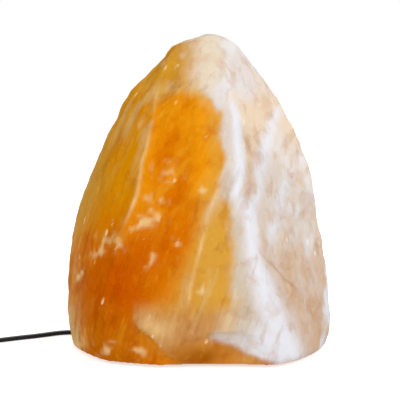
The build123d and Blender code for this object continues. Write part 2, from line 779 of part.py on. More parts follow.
coil_end = coil_path @ 1
print("cord_coil ends at", coil_end, "and the cord goes on from", route_to_plug[0])
cord_stretches = {}
for name, route in (
    ("cord_to_switch", route_to_switch),
    ("cord_switch_to_coil", route_to_coil),
    ("cord_coil_to_plug", route_to_plug),
):
    with BuildLine() as line:
        FilletPolyline(*route, radius=corner_radii(route))
    path = line.wire()
    level_run = Vector(route[1][0] - route[0][0], route[1][1] - route[0][1], 0)
    across = level_run.cross(Vector(0, 0, 1)) if level_run.length else holder_plane.x_dir
    with BuildPart() as stretch:
        sweep(cord_section(path, across), path=path)
    cord_stretches[name] = stretch
    print(name, "corner radii", [round(radius, 1) for radius in corner_radii(route)])
    cord_report(name, stretch.part, path)


def least_gap(path, samples=420):
    """The least distance between the cord's surfaces on different turns, on sampled points."""
    points = [path @ (index / samples) for index in range(samples + 1)]
    apart = int(samples * 60 / path.length)
    tilt = sin(atan2(upper_layer - cord_lie, 2 * coil_radii[coil_half_turns])) * 2
    thickness = cord_thickness + cord_width * tilt / 2
    least = path.length
    for first, a in enumerate(points):
        for b in points[first + apart:]:
            beside = hypot(a.X - b.X, a.Y - b.Y) - cord_width
            least = min(least, max(beside, abs(a.Z - b.Z) - thickness))
    return least


print(f"cord_coil: least gap to itself {least_gap(coil_path):.2f} mm")

# ---------------------------------------------------------------- the hand switch

switch_plane = Plane((*switch_middle, 0), x_dir=heading(switch_heading))
switch_side_plane = Plane((*switch_middle, 0), x_dir=switch_plane.x_dir, z_dir=-switch_plane.y_dir)
switch_end_plane = Plane((*switch_middle, switch_parting), x_dir=switch_plane.y_dir,
                         z_dir=switch_plane.x_dir)
boss_radius = switch_boss_diameter / 2
cord_slot = (cord_width + 2 * cord_hole_clearance, cord_thickness + 2 * cord_hole_clearance)


def switch_outline(height, inset=0.0):
    """The switch's outline seen from above: a broad middle that narrows to both ends."""
    half_length = switch_length / 2
    half_middle = switch_middle_length / 2
    with BuildSketch(level(switch_plane, height)) as outline:
        with BuildLine():
            Polyline(
                (-half_length, -switch_end_width / 2),
                (-half_middle, -switch_width / 2),
                (half_middle, -switch_width / 2),
                (half_length, -switch_end_width / 2),
                (half_length, switch_end_width / 2),
                (half_middle, switch_width / 2),
                (-half_middle, switch_width / 2),
                (-half_length, switch_end_width / 2),
                close=True,
            )
        make_face()
        fillet(outline.vertices(), radius=switch_corner)
        offset(amount=-inset, mode=Mode.REPLACE)
    return outline.sketch


def post(plane, places, radius, height, mode=Mode.ADD):
    """Round posts or holes that stand on a plane."""
    with BuildSketch(plane) as section:
        with Locations(*places):
            Circle(radius)
    extrude(section.sketch, amount=height, mode=mode)


def block(plane, places, size, height, mode=Mode.ADD):
    """Square posts or holes that stand on a plane."""
    with BuildSketch(plane) as section:
        with Locations(*places):
            Rectangle(*size)
    extrude(section.sketch, amount=height, mode=mode)


clamp_places = ((-clamp_reach, 0), (clamp_reach, 0))
clamp_screw_places = [
    (x, y) for x in (-clamp_reach, clamp_reach) for y in (-clamp_screw_offset, clamp_screw_offset)
]
clamp_seat = switch_parting - cord_thickness / 2 - cord_hole_clearance

with BuildPart() as switch_lower_shell:
    extrude(switch_outline(0), amount=switch_parting)
    fillet(switch_lower_shell.edges().group_by(Axis.Z)[0], radius=switch_edge_fillet)
    extrude(switch_outline(switch_wall, switch_wall), amount=switch_parting, mode=Mode.SUBTRACT)
    post(level(switch_plane, switch_wall), switch_boss_places, boss_radius, switch_parting - switch_wall)
    block(level(switch_plane, switch_wall), clamp_places, (clamp_length, clamp_width),
          switch_parting - switch_wall)
    block(switch_end_plane.offset(-switch_length), [(0, 0)], cord_slot, 2 * switch_length,
          mode=Mode.SUBTRACT)
    post(level(switch_plane, clamp_seat - 1), clamp_screw_places, clamp_screw_diameter / 2 + fit_clearance,
         switch_height, mode=Mode.SUBTRACT)
    post(level(switch_plane, 0), switch_boss_places, switch_screw_diameter / 2 + fit_clearance,
         switch_parting, mode=Mode.SUBTRACT)
    post(level(switch_plane, 0), switch_boss_places, switch_screw_head / 2 + fit_clearance,
         switch_screw_recess + switch_screw_head_height, mode=Mode.SUBTRACT)

ceiling = switch_height - switch_wall
ear_middle = window_width / 2 + rocker_ear_thickness / 2
boss_top = switch_screw_recess + switch_screw_head_height + switch_screw_length + 0.5

with BuildPart() as switch_upper_shell:
    extrude(switch_outline(switch_parting), amount=switch_height - switch_parting)
    fillet(switch_upper_shell.edges().group_by(Axis.Z)[-1], radius=switch_edge_fillet)
    extrude(switch_outline(switch_parting, switch_wall), amount=ceiling - switch_parting,
            mode=Mode.SUBTRACT)
    post(level(switch_plane, switch_parting), switch_boss_places, boss_radius, ceiling - switch_parting)
    post(level(switch_plane, switch_parting), switch_boss_places,
         switch_screw_diameter / 2 + fit_clearance, boss_top - switch_parting, mode=Mode.SUBTRACT)
    block(level(switch_plane, ceiling - window_collar_height), [(0, 0)],
          (window_length + 2 * window_collar_wall, window_width + 2 * window_collar_wall),
          window_collar_height)
    block(level(switch_plane, rocker_pivot_height - rocker_ear_drop),
          [(0, -ear_middle), (0, ear_middle)], (rocker_ear_width, rocker_ear_thickness),
          ceiling - rocker_pivot_height + rocker_ear_drop)
    block(level(switch_plane, switch_parting), [(0, 0)], (window_length, window_width),
          switch_height, mode=Mode.SUBTRACT)
    post(switch_side_plane.offset(-switch_width), [(0, rocker_pivot_height)],
         rocker_pivot_diameter / 2 + rocker_pivot_play, 2 * switch_width - switch_width / 2 - 2,
         mode=Mode.SUBTRACT)
    block(switch_end_plane.offset(-switch_length), [(0, 0)], cord_slot, 2 * switch_length,
          mode=Mode.SUBTRACT)

# The rocker stands tilted to its ON side. Its ends are round about the pivot, so that they keep
# their distance from the window, and its top is dished.
rocker_plane = Plane((*switch_middle, rocker_pivot_height), x_dir=switch_plane.x_dir,
                     z_dir=-switch_plane.y_dir)
rocker_side = Plane(
    rocker_plane.origin,
    x_dir=heading(switch_heading) * cos(radians(rocker_tilt)) + Vector(0, 0, sin(radians(rocker_tilt))),
    z_dir=rocker_plane.z_dir,
)
rocker_half_width = window_width / 2 - rocker_gap
crown_reach = sqrt(rocker_end_radius**2 - rocker_crown**2)
skirt_reach = sqrt(rocker_end_radius**2 - rocker_skirt**2)
plunger_drop = rocker_pivot_height - seesaw_height - seesaw_thickness / 2 - seesaw_gap
plunger_length = plunger_drop - 0.4
rocker_up = Vector(-sin(radians(rocker_tilt)) * cos(radians(switch_heading)),
                   -sin(radians(rocker_tilt)) * sin(radians(switch_heading)),
                   cos(radians(rocker_tilt)))
plunger_plane = Plane(rocker_plane.origin, x_dir=-switch_plane.y_dir, z_dir=rocker_up)

with BuildPart() as switch_rocker:
    with BuildSketch(rocker_side):
        with BuildLine():
            ThreePointArc((-crown_reach, rocker_crown), (0, rocker_crown - rocker_dish),
                          (crown_reach, rocker_crown))
            ThreePointArc((crown_reach, rocker_crown), (rocker_end_radius, 0), (skirt_reach, -rocker_skirt))
            Polyline(
                (skirt_reach, -rocker_skirt),
                (rocker_hub_width / 2 + 1, -rocker_skirt),
                (rocker_hub_width / 2, -rocker_hub_drop),
                (-rocker_hub_width / 2, -rocker_hub_drop),
                (-rocker_hub_width / 2 - 1, -rocker_skirt),
                (-skirt_reach, -rocker_skirt),
            )
            ThreePointArc((-skirt_reach, -rocker_skirt), (-rocker_end_radius, 0),
                          (-crown_reach, rocker_crown))
        make_face()
    extrude(amount=rocker_half_width, both=True)
    crown_edges = switch_rocker.faces().sort_by(Axis(rocker_plane.origin, rocker_up))[-1].edges()
    fillet(crown_edges, radius=edge_break)
    post(rocker_side.offset(-ear_middle - rocker_ear_thickness / 2), [(0, 0)], rocker_pivot_diameter / 2,
         2 * ear_middle + rocker_ear_thickness)
    post(plunger_plane.offset(plunger_bore_top), [(0, 0)], plunger_diameter / 2 + plunger_play,
         -2 * rocker_crown, mode=Mode.SUBTRACT)

with BuildPart() as rocker_plunger:
    post(plunger_plane.offset(-plunger_drop), [(0, 0)], plunger_diameter / 2, plunger_length)
    tip = rocker_plunger.edges().filter_by(GeomType.CIRCLE).sort_by(Axis.Z)[0]
    fillet(tip, radius=plunger_diameter / 2 - 0.3)

spring_height = plunger_bore_top + plunger_drop - plunger_length - spring_wire - 0.5
spring_foot = -plunger_drop + plunger_length + spring_wire / 2 + 0.1

with BuildPart() as plunger_spring:
    with BuildLine() as spring_line:
        Helix(pitch=spring_height / spring_turns, height=spring_height,
              radius=plunger_diameter / 2 - spring_wire,
              center=plunger_plane.offset(spring_foot).origin, direction=rocker_up)
    with BuildSketch(Plane(origin=spring_line.line @ 0, z_dir=spring_line.line % 0)):
        RegularPolygon(spring_wire / 2, 6)
    sweep(path=spring_line.line, is_frenet=True)

# The moving contact rocks on a knife edge under the plunger, the other way from the rocker.
seesaw_angle = radians(rocker_tilt * seesaw_ratio)
seesaw_side = Plane(
    (*switch_middle, seesaw_height),
    x_dir=heading(switch_heading) * cos(seesaw_angle) - Vector(0, 0, sin(seesaw_angle)),
    z_dir=rocker_plane.z_dir,
)

with BuildPart() as switch_seesaw:
    with BuildSketch(seesaw_side):
        Rectangle(seesaw_length, seesaw_thickness)
    extrude(amount=seesaw_width / 2, both=True)

floor_top = switch_wall
knife_top = seesaw_height - seesaw_thickness / 2 - fit_clearance
closed_height = (seesaw_height - contact_reach * sin(seesaw_angle)
                 - seesaw_thickness / 2 / cos(seesaw_angle) - contact_diameter / 2 * sin(seesaw_angle))
terminal_length, terminal_breadth, terminal_rise = terminal_size_in_switch
busbar_top = floor_top + busbar_thickness
busbar_end = terminal_reach_in_switch + terminal_length / 2
busbar_start = contact_reach - contact_diameter / 2
pivot_busbar = (busbar_end + 2.0, busbar_width)
contact_busbar = (busbar_end - busbar_start, busbar_width)

with BuildPart() as switch_contacts:
    block(level(switch_plane, floor_top), [(2.0 - pivot_busbar[0] / 2, busbar_offset)], pivot_busbar,
          busbar_thickness)
    block(level(switch_plane, floor_top), [(busbar_start + contact_busbar[0] / 2, busbar_offset)],
          contact_busbar, busbar_thickness)
    with BuildSketch(switch_side_plane):
        with BuildLine():
            Polyline((-1.4, busbar_top), (1.4, busbar_top), (0.15, knife_top), (-0.15, knife_top),
                     close=True)
        make_face()
    extrude(amount=seesaw_width / 2, both=True)
    post(level(switch_plane, busbar_top), [(contact_reach, 0)], contact_diameter / 2,
         closed_height - contact_gap - busbar_top)

terminal_places = [
    (-terminal_reach_in_switch, terminal_offset_in_switch),
    (terminal_reach_in_switch, terminal_offset_in_switch),
]
switch_terminal_top = busbar_top + terminal_rise
core_bend = terminal_reach_in_switch + terminal_length / 2 + 1.5
core_start = switch_length / 2 - switch_cord_depth
core_hole = core_diameter / 2 + fit_clearance

with BuildPart() as switch_terminals:
    block(level(switch_plane, busbar_top), terminal_places, (terminal_length, terminal_breadth),
          terminal_rise)
    post(switch_end_plane.offset(-busbar_end), [(terminal_offset_in_switch, 0)], core_hole,
         terminal_length / 2, mode=Mode.SUBTRACT)
    post(switch_end_plane.offset(busbar_end), [(terminal_offset_in_switch, 0)], core_hole,
         -terminal_length / 2, mode=Mode.SUBTRACT)
    post(level(switch_plane, switch_parting), terminal_places,
         terminal_screw_diameter / 2 + fit_clearance, terminal_rise, mode=Mode.SUBTRACT)

terminal_screw_foot = switch_parting + core_diameter / 2

with BuildPart() as switch_terminal_screws:
    post(level(switch_plane, terminal_screw_foot), terminal_places, terminal_screw_diameter / 2,
         switch_terminal_top - terminal_screw_foot)
    post(level(switch_plane, switch_terminal_top), terminal_places, terminal_screw_head / 2,
         terminal_screw_head_height)
    block(level(switch_plane, switch_terminal_top + terminal_screw_head_height / 2), terminal_places,
          (terminal_screw_head + 1, 0.6), terminal_screw_head_height, mode=Mode.SUBTRACT)

with BuildPart() as switch_housing_screws:
    post(level(switch_plane, switch_screw_recess), switch_boss_places, switch_screw_head / 2,
         switch_screw_head_height)
    post(level(switch_plane, switch_screw_recess + switch_screw_head_height), switch_boss_places,
         switch_screw_diameter / 2, switch_screw_length)
    block(level(switch_plane, switch_screw_recess), switch_boss_places, (switch_screw_head + 1, 0.7),
          switch_screw_head_height / 2, mode=Mode.SUBTRACT)

clamp_bottom = switch_parting + cord_thickness / 2 + fit_clearance / 2

with BuildPart() as cord_clamps:
    block(level(switch_plane, clamp_bottom), clamp_places, (clamp_length, clamp_width), clamp_thickness)
    post(level(switch_plane, clamp_bottom), clamp_screw_places, clamp_screw_diameter / 2 + fit_clearance,
         clamp_thickness, mode=Mode.SUBTRACT)

with BuildPart() as clamp_screws:
    post(level(switch_plane, clamp_bottom + clamp_thickness), clamp_screw_places, clamp_screw_head / 2,
         clamp_screw_head_height)
    post(level(switch_plane, clamp_bottom + clamp_thickness), clamp_screw_places,
         clamp_screw_diameter / 2, -clamp_screw_length)

core_offset = switch_core_spacing / 2
core_floor = floor_top + core_diameter / 2 + 0.1
core_places = {
    "to_pivot": [
        (-core_start, -core_offset, switch_parting),
        (-core_bend - 0.5, -core_offset, switch_parting),
        (-core_bend + 1.2, terminal_offset_in_switch, switch_parting),
        (-terminal_reach_in_switch - 0.5, terminal_offset_in_switch, switch_parting),
    ],
    "to_contact": [
        (core_start, -core_offset, switch_parting),
        (core_bend + 0.5, -core_offset, switch_parting),
        (core_bend - 1.2, terminal_offset_in_switch, switch_parting),
        (terminal_reach_in_switch + 0.5, terminal_offset_in_switch, switch_parting),
    ],
    "through": [
        (-core_start, core_offset, switch_parting),
        (-core_bend, core_offset, switch_parting),
        (-terminal_reach_in_switch, through_core_offset, core_floor),
        (terminal_reach_in_switch, through_core_offset, core_floor),
        (core_bend, core_offset, switch_parting),
        (core_start, core_offset, switch_parting),
    ],
}

with BuildPart() as switch_cores:
    for places in core_places.values():
        with BuildLine(switch_plane) as core_line:
            FilletPolyline(*places, radius=core_bend_radius)
        with BuildSketch(Plane(origin=core_line.line @ 0, z_dir=core_line.line % 0)):
            Circle(core_diameter / 2)
        sweep(path=core_line.line)

# ---------------------------------------------------------------- the plug

plug_entry = Vector(*route_to_plug[-1]) - Vector(0, switch_cord_depth, 0)
plug_axis = Axis(plug_entry, (0, 1, 0))
plug_across = Plane(plug_entry, x_dir=(1, 0, 0), z_dir=(0, 1, 0))
plug_flat = Plane(plug_entry, x_dir=(0, 1, 0), z_dir=(0, 0, 1))
plug_lengthwise = Plane(plug_entry, x_dir=(0, 1, 0), z_dir=(1, 0, 0))
plug_back = relief_length
plug_front = relief_length + plug_length

with BuildPart() as plug_body:
    with BuildSketch(plug_flat.offset(-plug_thickness / 2)) as outline:
        with BuildLine():
            Polyline(
                (plug_back, -plug_rear_width / 2),
                (plug_back + plug_shoulder, -plug_width / 2),
                (plug_front - plug_shoulder, -plug_width / 2),
                (plug_front, -plug_front_width / 2),
                (plug_front, plug_front_width / 2),
                (plug_front - plug_shoulder, plug_width / 2),
                (plug_back + plug_shoulder, plug_width / 2),
                (plug_back, plug_rear_width / 2),
                close=True,
            )
        make_face()
        fillet(outline.vertices().group_by(Axis.Y)[-1] + outline.vertices().group_by(Axis.Y)[0],
               radius=plug_end_corner)
    extrude(amount=plug_thickness)
    with BuildSketch(plug_across.offset(plug_back)) as ends:
        Rectangle(plug_width, plug_thickness)
        chamfer(ends.vertices(), length=plug_side_bevel)
    extrude(amount=plug_length, mode=Mode.INTERSECT)
    level_edges = plug_body.edges().group_by(Axis.Z)
    fillet(level_edges[-1] + level_edges[0], radius=plug_edge_fillet)

pin_planes = []
for side in (-1, 1):
    root = plug_entry + Vector(side * pin_spacing / 2, plug_front, 0)
    toe_in = radians(pin_toe_in)
    pin_planes.append(Plane(root, x_dir=(0, 0, 1), z_dir=(-side * sin(toe_in), cos(toe_in), 0)))
pin_core = pin_diameter / 2 - pin_sleeve_wall

with BuildPart() as plug_pins:
    for pin_plane in pin_planes:
        post(pin_plane.offset(-pin_root), [(0, 0)], pin_core, pin_root + pin_sleeve_length)
        post(pin_plane.offset(pin_sleeve_length), [(0, 0)], pin_diameter / 2,
             pin_length - pin_sleeve_length)
    points = plug_pins.edges().filter_by(GeomType.CIRCLE).group_by(Axis.Y)[-1]
    fillet(points, radius=pin_diameter / 2 - 0.6)

with BuildPart() as plug_pin_sleeves:
    for pin_plane in pin_planes:
        post(pin_plane.offset(fit_clearance), [(0, 0)], pin_diameter / 2,
             pin_sleeve_length - fit_clearance)
        post(pin_plane, [(0, 0)], pin_core + 0.02, pin_sleeve_length, mode=Mode.SUBTRACT)

with BuildPart(mode=Mode.PRIVATE) as pin_holes:
    for pin_plane in pin_planes:
        post(pin_plane.offset(-pin_root), [(0, 0)], pin_core + 0.02, pin_root + 1)
plug_body.part = plug_body.part - pin_holes.part

with BuildPart() as plug_strain_relief:
    with BuildSketch(plug_lengthwise):
        with BuildLine():
            Polyline(
                (0, 0),
                (0, relief_end_diameter / 2),
                (relief_length, relief_root_diameter / 2),
                (relief_length, 0),
                close=True,
            )
        make_face()
    revolve(axis=plug_axis)
    ring_step = relief_length / (relief_ring_count + 1)
    for index in range(relief_ring_count):
        with BuildSketch(plug_across.offset((index + 1) * ring_step - relief_ring_width / 2)) as ring:
            Circle(relief_root_diameter)
            Circle(relief_end_diameter / 2 - relief_ring_depth
                   + (relief_root_diameter - relief_end_diameter) / 2 * (index + 1) * ring_step
                   / relief_length, mode=Mode.SUBTRACT)
        extrude(amount=relief_ring_width, mode=Mode.SUBTRACT)
    with BuildSketch(plug_across):
        Rectangle(*cord_slot)
    extrude(amount=switch_cord_depth, mode=Mode.SUBTRACT)

# ---------------------------------------------------------------- the finished pieces

pieces = {
    "salt_crystal": salt_crystal,
    "felt_feet": felt_feet,
    "spring_bracket": spring_bracket,
    "holder_cap": holder_cap,
    "holder_shell": holder_shell,
    "holder_core": holder_core,
    "thread_sleeve": thread_sleeve,
    "centre_contact": centre_contact,
    "side_contact": side_contact,
    "terminal_blocks": terminal_blocks,
    "terminal_screws": terminal_screws,
    "nipple": nipple,
    "nipple_nut": nipple_nut,
    "cord_gland": cord_gland,
    "gland_screw": gland_screw,
    "holder_leads": holder_leads,
    "bulb_glass": bulb_glass,
    "bulb_cap": bulb_cap,
    "bulb_insulator": bulb_insulator,
    "bulb_tip": bulb_tip,
    "bulb_stem": bulb_stem,
    "bulb_lead_wires": bulb_lead_wires,
    "filament": filament,
    **cord_stretches,
    "cord_coil": cord_coil,
    "switch_lower_shell": switch_lower_shell,
    "switch_upper_shell": switch_upper_shell,
    "switch_rocker": switch_rocker,
    "rocker_plunger": rocker_plunger,
    "plunger_spring": plunger_spring,
    "switch_seesaw": switch_seesaw,
    "switch_contacts": switch_contacts,
    "switch_terminals": switch_terminals,
    "switch_terminal_screws": switch_terminal_screws,
    "switch_housing_screws": switch_housing_screws,
    "cord_clamps": cord_clamps,
    "clamp_screws": clamp_screws,
    "switch_cores": switch_cores,
    "plug_body": plug_body,
    "plug_strain_relief": plug_strain_relief,
    "plug_pins": plug_pins,
    "plug_pin_sleeves": plug_pin_sleeves,
}

os.makedirs("parts", exist_ok=True)
for name, piece in pieces.items():
    piece.part.label = name
    export_step(piece.part, f"parts/{name}.step")
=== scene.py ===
import math
import types

import bmesh
import bpy
import numpy as np
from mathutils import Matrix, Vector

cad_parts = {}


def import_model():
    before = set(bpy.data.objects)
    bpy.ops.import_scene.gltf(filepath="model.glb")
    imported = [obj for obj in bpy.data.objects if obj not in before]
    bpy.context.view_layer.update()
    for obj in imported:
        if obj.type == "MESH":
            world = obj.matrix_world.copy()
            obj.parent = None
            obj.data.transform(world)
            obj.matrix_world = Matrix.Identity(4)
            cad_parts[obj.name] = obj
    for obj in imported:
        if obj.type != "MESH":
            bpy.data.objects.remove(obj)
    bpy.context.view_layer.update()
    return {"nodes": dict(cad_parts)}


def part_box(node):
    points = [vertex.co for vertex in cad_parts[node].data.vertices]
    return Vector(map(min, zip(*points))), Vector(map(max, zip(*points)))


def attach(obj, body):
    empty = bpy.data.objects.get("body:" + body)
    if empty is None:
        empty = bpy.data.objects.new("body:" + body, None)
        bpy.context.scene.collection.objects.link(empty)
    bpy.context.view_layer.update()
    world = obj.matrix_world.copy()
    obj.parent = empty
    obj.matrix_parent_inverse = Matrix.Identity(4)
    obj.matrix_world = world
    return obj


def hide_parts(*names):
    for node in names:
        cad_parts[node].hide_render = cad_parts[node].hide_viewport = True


# The salt crystal lamp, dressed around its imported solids. Metres, +X right, +Y away from the
# front, +Z up, with the origin on the table under the middle of the crystal.

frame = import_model()
scene = bpy.context.scene
print("frame loaded")


# Puts data into the scene as an object.
def placed(name, data):
    made = bpy.data.objects.new(name, data)
    scene.collection.objects.link(made)
    return made


# Camera, lights and table

cameraSettings = {"target": (0.0016, 0.0, 0.117), "distance": 1.3, "elevation": 9.0, "lens": 148.0,
                  "sensor": 36.0}


# The camera stands in front, at distance * (0, -cos, sin) of the elevation from its target.
def addCamera(settings):
    data = bpy.data.cameras.new("camera")
    data.lens = settings["lens"]
    data.sensor_width = settings["sensor"]
    tilt = math.radians(settings["elevation"])
    camera = placed("camera", data)
    reach = settings["distance"]
    x, y, z = settings["target"]
    camera.location = (x, y - reach * math.cos(tilt), z + reach * math.sin(tilt))
    camera.rotation_euler = (math.pi / 2 - tilt, 0.0, 0.0)
    scene.camera = camera


addCamera(cameraSettings)

lightAim = (0.0, 0.0, 0.1)
areaLights = (
    {"name": "keyLight", "place": (0.75, -0.95, 0.95), "size": 0.9, "power": 9.0, "color": (1.0, 0.985, 0.97)},
    {"name": "fillLight", "place": (-1.1, -0.8, 0.55), "size": 1.0, "power": 4.2, "color": (1.0, 0.99, 0.98)},
    {"name": "backLight", "place": (0.3, 1.2, 0.9), "size": 1.0, "power": 6.0, "color": (0.98, 0.99, 1.0)},
)


# A square soft box that faces the lamp's middle.
def addAreaLight(settings):
    data = bpy.data.lights.new(settings["name"], "AREA")
    data.size = settings["size"]
    data.energy = settings["power"]
    data.color = settings["color"]
    lamp = placed(settings["name"], data)
    lamp.location = settings["place"]
    way = np.array(lightAim) - np.array(settings["place"])
    flat = math.hypot(way[0], way[1])
    lamp.rotation_euler = (math.atan2(flat, -way[2]), 0.0, math.atan2(way[1], way[0]) - math.pi / 2)


for lightSettings in areaLights:
    addAreaLight(lightSettings)

# Shader helpers


# Adds nodes to a node tree and links whatever is passed in place of a number or a colour.
class Graph:
    def __init__(self, tree):
        self.tree = tree

    def add(self, kind, inputs=(), **settings):
        node = self.tree.nodes.new("ShaderNode" + kind)
        for name, value in settings.items():
            setattr(node, name, value)
        for key, value in dict(inputs).items():
            self.put(node.inputs[key], value)
        return node

    # Feeds an input of the tree's shader.
    def feed(self, name, value):
        self.put(self.tree.nodes["Principled BSDF"].inputs[name], value)

    def put(self, socket, value):
        if isinstance(value, bpy.types.NodeSocket):
            self.tree.links.new(value, socket)
        else:
            socket.default_value = value

    def math(self, operation, a, b):
        return self.add("Math", {0: a, 1: b}, operation=operation).outputs[0]

    def times(self, a, b):
        return self.math("MULTIPLY", a, b)

    def plus(self, a, b):
        return self.math("ADD", a, b)

    # to[0] at low and to[1] at high, eased between them.
    def span(self, value, low, high, to=(0.0, 1.0)):
        return self.add("MapRange", {"Value": value, "From Min": low, "From Max": high, "To Min": to[0],
                                     "To Max": to[1]}, interpolation_type="SMOOTHSTEP").outputs[0]

    # From a to b, each a link or an sRGB colour from 0 to 255.
    def mix(self, factor, a, b, blend="MIX"):
        a, b = (linear(color) if isinstance(color, tuple) else color for color in (a, b))
        return self.add("Mix", {0: factor, 6: a, 7: b}, data_type="RGBA", blend_type=blend).outputs[2]

    def objectPlace(self):
        return self.add("TexCoord").outputs["Object"]

    # Turned first and then scaled, so that a small scale stretches along a turned axis.
    def mapped(self, vector, scale=(1.0, 1.0, 1.0), turn=(0.0, 0.0, 0.0)):
        turned = self.add("Mapping", {"Vector": vector, "Rotation": turn}).outputs[0]
        return self.add("Mapping", {"Vector": turned, "Scale": scale}).outputs[0]

    def noise(self, vector, scale, detail=3.0, rough=0.5, distortion=0.0):
        return self.add("TexNoise", {"Vector": vector, "Scale": scale, "Detail": detail, "Roughness": rough,
                                     "Distortion": distortion}).outputs["Fac"]

    def cells(self, vector, scale):
        return self.add("TexVoronoi", {"Vector": vector, "Scale": scale}).outputs["Distance"]

    def bump(self, height, strength, distance):
        return self.add("Bump", {"Height": height, "Strength": strength, "Distance": distance}).outputs[0]

    def attribute(self, name):
        return self.add("Attribute", attribute_name=name).outputs["Color"]

    # The surface grain's height and masks at a grain scale.
    def grain(self, scale):
        node = self.add("Group", node_tree=grainGroup)
        node.inputs["Scale"].default_value = scale
        return node.outputs

    # 1 for rays that show a surface to the eye, directly or in metal and glass, and 0 for those that light.
    def seenByEye(self):
        path = self.add("LightPath").outputs
        seen = self.math("MAXIMUM", path["Is Camera Ray"], path["Is Glossy Ray"])
        return self.math("MAXIMUM", seen, path["Is Transmission Ray"])


# sRGB values from 0 to 255 as linear light.
def linear(color):
    share = np.array(color, float) / 255.0
    light = np.where(share <= 0.04045, share / 12.92, ((share + 0.055) / 1.055) ** 2.4)
    return (*light.tolist(), 1.0)


# An empty node material with its Principled shader and output.
def newMaterial(name):
    material = bpy.data.materials.new(name)
    material.use_nodes = True
    graph = Graph(material.node_tree)
    return material, graph, material.node_tree.nodes["Principled BSDF"]


# A shared group: fine moulding grain and faint handling marks, as a height and two masks.
grainGroup = bpy.data.node_groups.new("surfaceGrain", "ShaderNodeTree")
grainGroup.interface.new_socket("Scale", in_out="INPUT", socket_type="NodeSocketFloat")
for socketName in ("Height", "Wear", "Mottle"):
    grainGroup.interface.new_socket(socketName, in_out="OUTPUT", socket_type="NodeSocketFloat")
grainGraph = Graph(grainGroup)
grainIn = grainGroup.nodes.new("NodeGroupInput")
grainOut = grainGroup.nodes.new("NodeGroupOutput")
grainPlace = grainGraph.objectPlace()
grainFine = grainGraph.noise(grainPlace, grainIn.outputs["Scale"], 2.0, 0.6)
grainBroad = grainGraph.noise(grainPlace, 90.0, 4.0, 0.6)
grainScratch = grainGraph.noise(grainGraph.mapped(grainPlace, (900.0, 60.0, 300.0), (0.4, 0.2, 0.7)), 1.0, 2.0)
grainGraph.put(grainOut.inputs["Height"], grainFine)
grainGraph.put(grainOut.inputs["Mottle"], grainBroad)
grainGraph.put(grainOut.inputs["Wear"], grainGraph.span(grainScratch, 0.60, 0.72))


# A plain finish with mottled colour, uneven gloss, fine relief and worn streaks from the shared group.
def dressedMaterial(name, color, tint, roughness, spread, grainScale, relief, metallic, wearColor, coat, specular):
    material, graph, shader = newMaterial(name)
    grain = graph.grain(grainScale)
    base = graph.mix(grain["Mottle"], color, tint)
    if wearColor:
        base = graph.mix(graph.times(grain["Wear"], 0.35), base, wearColor)
    graph.feed("Base Color", base)
    rough = graph.span(grain["Mottle"], 0.3, 0.7, (roughness - spread, roughness + spread))
    graph.feed("Roughness", rough)
    graph.feed("Normal", graph.bump(grain["Height"], 0.35, relief * 0.0001))
    shader.inputs["Metallic"].default_value = metallic
    shader.inputs["Coat Weight"].default_value = coat
    shader.inputs["Specular IOR Level"].default_value = specular
    return material


print("shader helpers ready")

# Cords

# The heights are those of the cord's middle line: on the table, on the coil's upper layer, in the switch and
# in the plug.
cordSettings = {"width": 0.0052, "thickness": 0.0032, "corner": 0.0013, "cornerSteps": 5, "flattest": 0.2}
cordLie = 0.00166
upperLayer = 0.00596
switchLevel = 0.0065
plugLevel = 0.00685

routeToSwitch = [
    (0.0, 0.0, 0.0414), (0.0, 0.0, 0.0246), (-0.008, 0.0026, 0.010), (-0.0219, 0.0071, cordLie),
    (-0.0403, 0.0118, cordLie), (-0.0587, 0.0201, cordLie), (-0.0801, 0.0254, cordLie),
    (-0.098, 0.0345, cordLie), (-0.113, 0.0325, cordLie), (-0.130, 0.0215, cordLie),
    (-0.146, 0.0142, cordLie), (-0.1665, 0.0026, cordLie), (-0.1786, -0.0032, switchLevel),
    (-0.1903, -0.0089, switchLevel),
]
routeToCoil = [
    (-0.2317, -0.0291, switchLevel), (-0.2433, -0.0348, switchLevel), (-0.2554, -0.0407, cordLie),
    (-0.2665, -0.0452, cordLie),
]
routeToPlug = [
    (-0.2994, -0.0522, upperLayer), (-0.318, -0.0594, cordLie), (-0.332, -0.0606, cordLie),
    (-0.3449, -0.0552, cordLie), (-0.3548, -0.045, cordLie), (-0.3601, -0.0315, cordLie),
    (-0.3604, -0.0158, plugLevel), (-0.3604, -0.002, plugLevel),
]
coilSettings = {"radius": 0.041, "pitch": 0.0059, "halfTurns": 7, "heading": 202.0, "pointsPerHalf": 6,
                "lead": 0.0052}


# Control points of the coil: half turns whose radius shrinks by half a pitch each, then grows again.
# A point at angle a of a half turn of radius r about c is c + r / cos(half step) * (forward sin a - side cos a),
# which puts the drawn curve itself at radius r. Every second half turn lies on the other side.
def coilPoints(settings, start):
    turn = math.radians(settings["heading"])
    forward = np.array((math.cos(turn), math.sin(turn), 0.0))
    side = np.array((math.sin(turn), -math.cos(turn), 0.0))
    half = settings["halfTurns"]
    inward = settings["radius"] - settings["pitch"] / 2 * np.arange(half)
    radii = np.concatenate((inward, [inward[-1] - settings["pitch"] / 2], inward[:0:-1]))
    steps = settings["pointsPerHalf"]
    angles = (np.arange(steps) + 0.5) * math.pi / steps
    place = np.array(start) + forward * settings["lead"]
    points = []
    for index, radius in enumerate(radii):
        way = 1.0 if index % 2 == 0 else -1.0
        middle = place + side * radius * way
        reach = radius / math.cos(math.pi / steps / 2)
        turned = middle + reach * way * (np.outer(-np.cos(angles), side) + np.outer(np.sin(angles), forward))
        climb = np.clip((index - half) + angles / math.pi, 0.0, 1.0)
        turned[:, 2] = cordLie + (upperLayer - cordLie) * climb
        points.append(turned)
        place = place + side * 2 * radius * way
    return [tuple(point) for point in np.concatenate(points)]


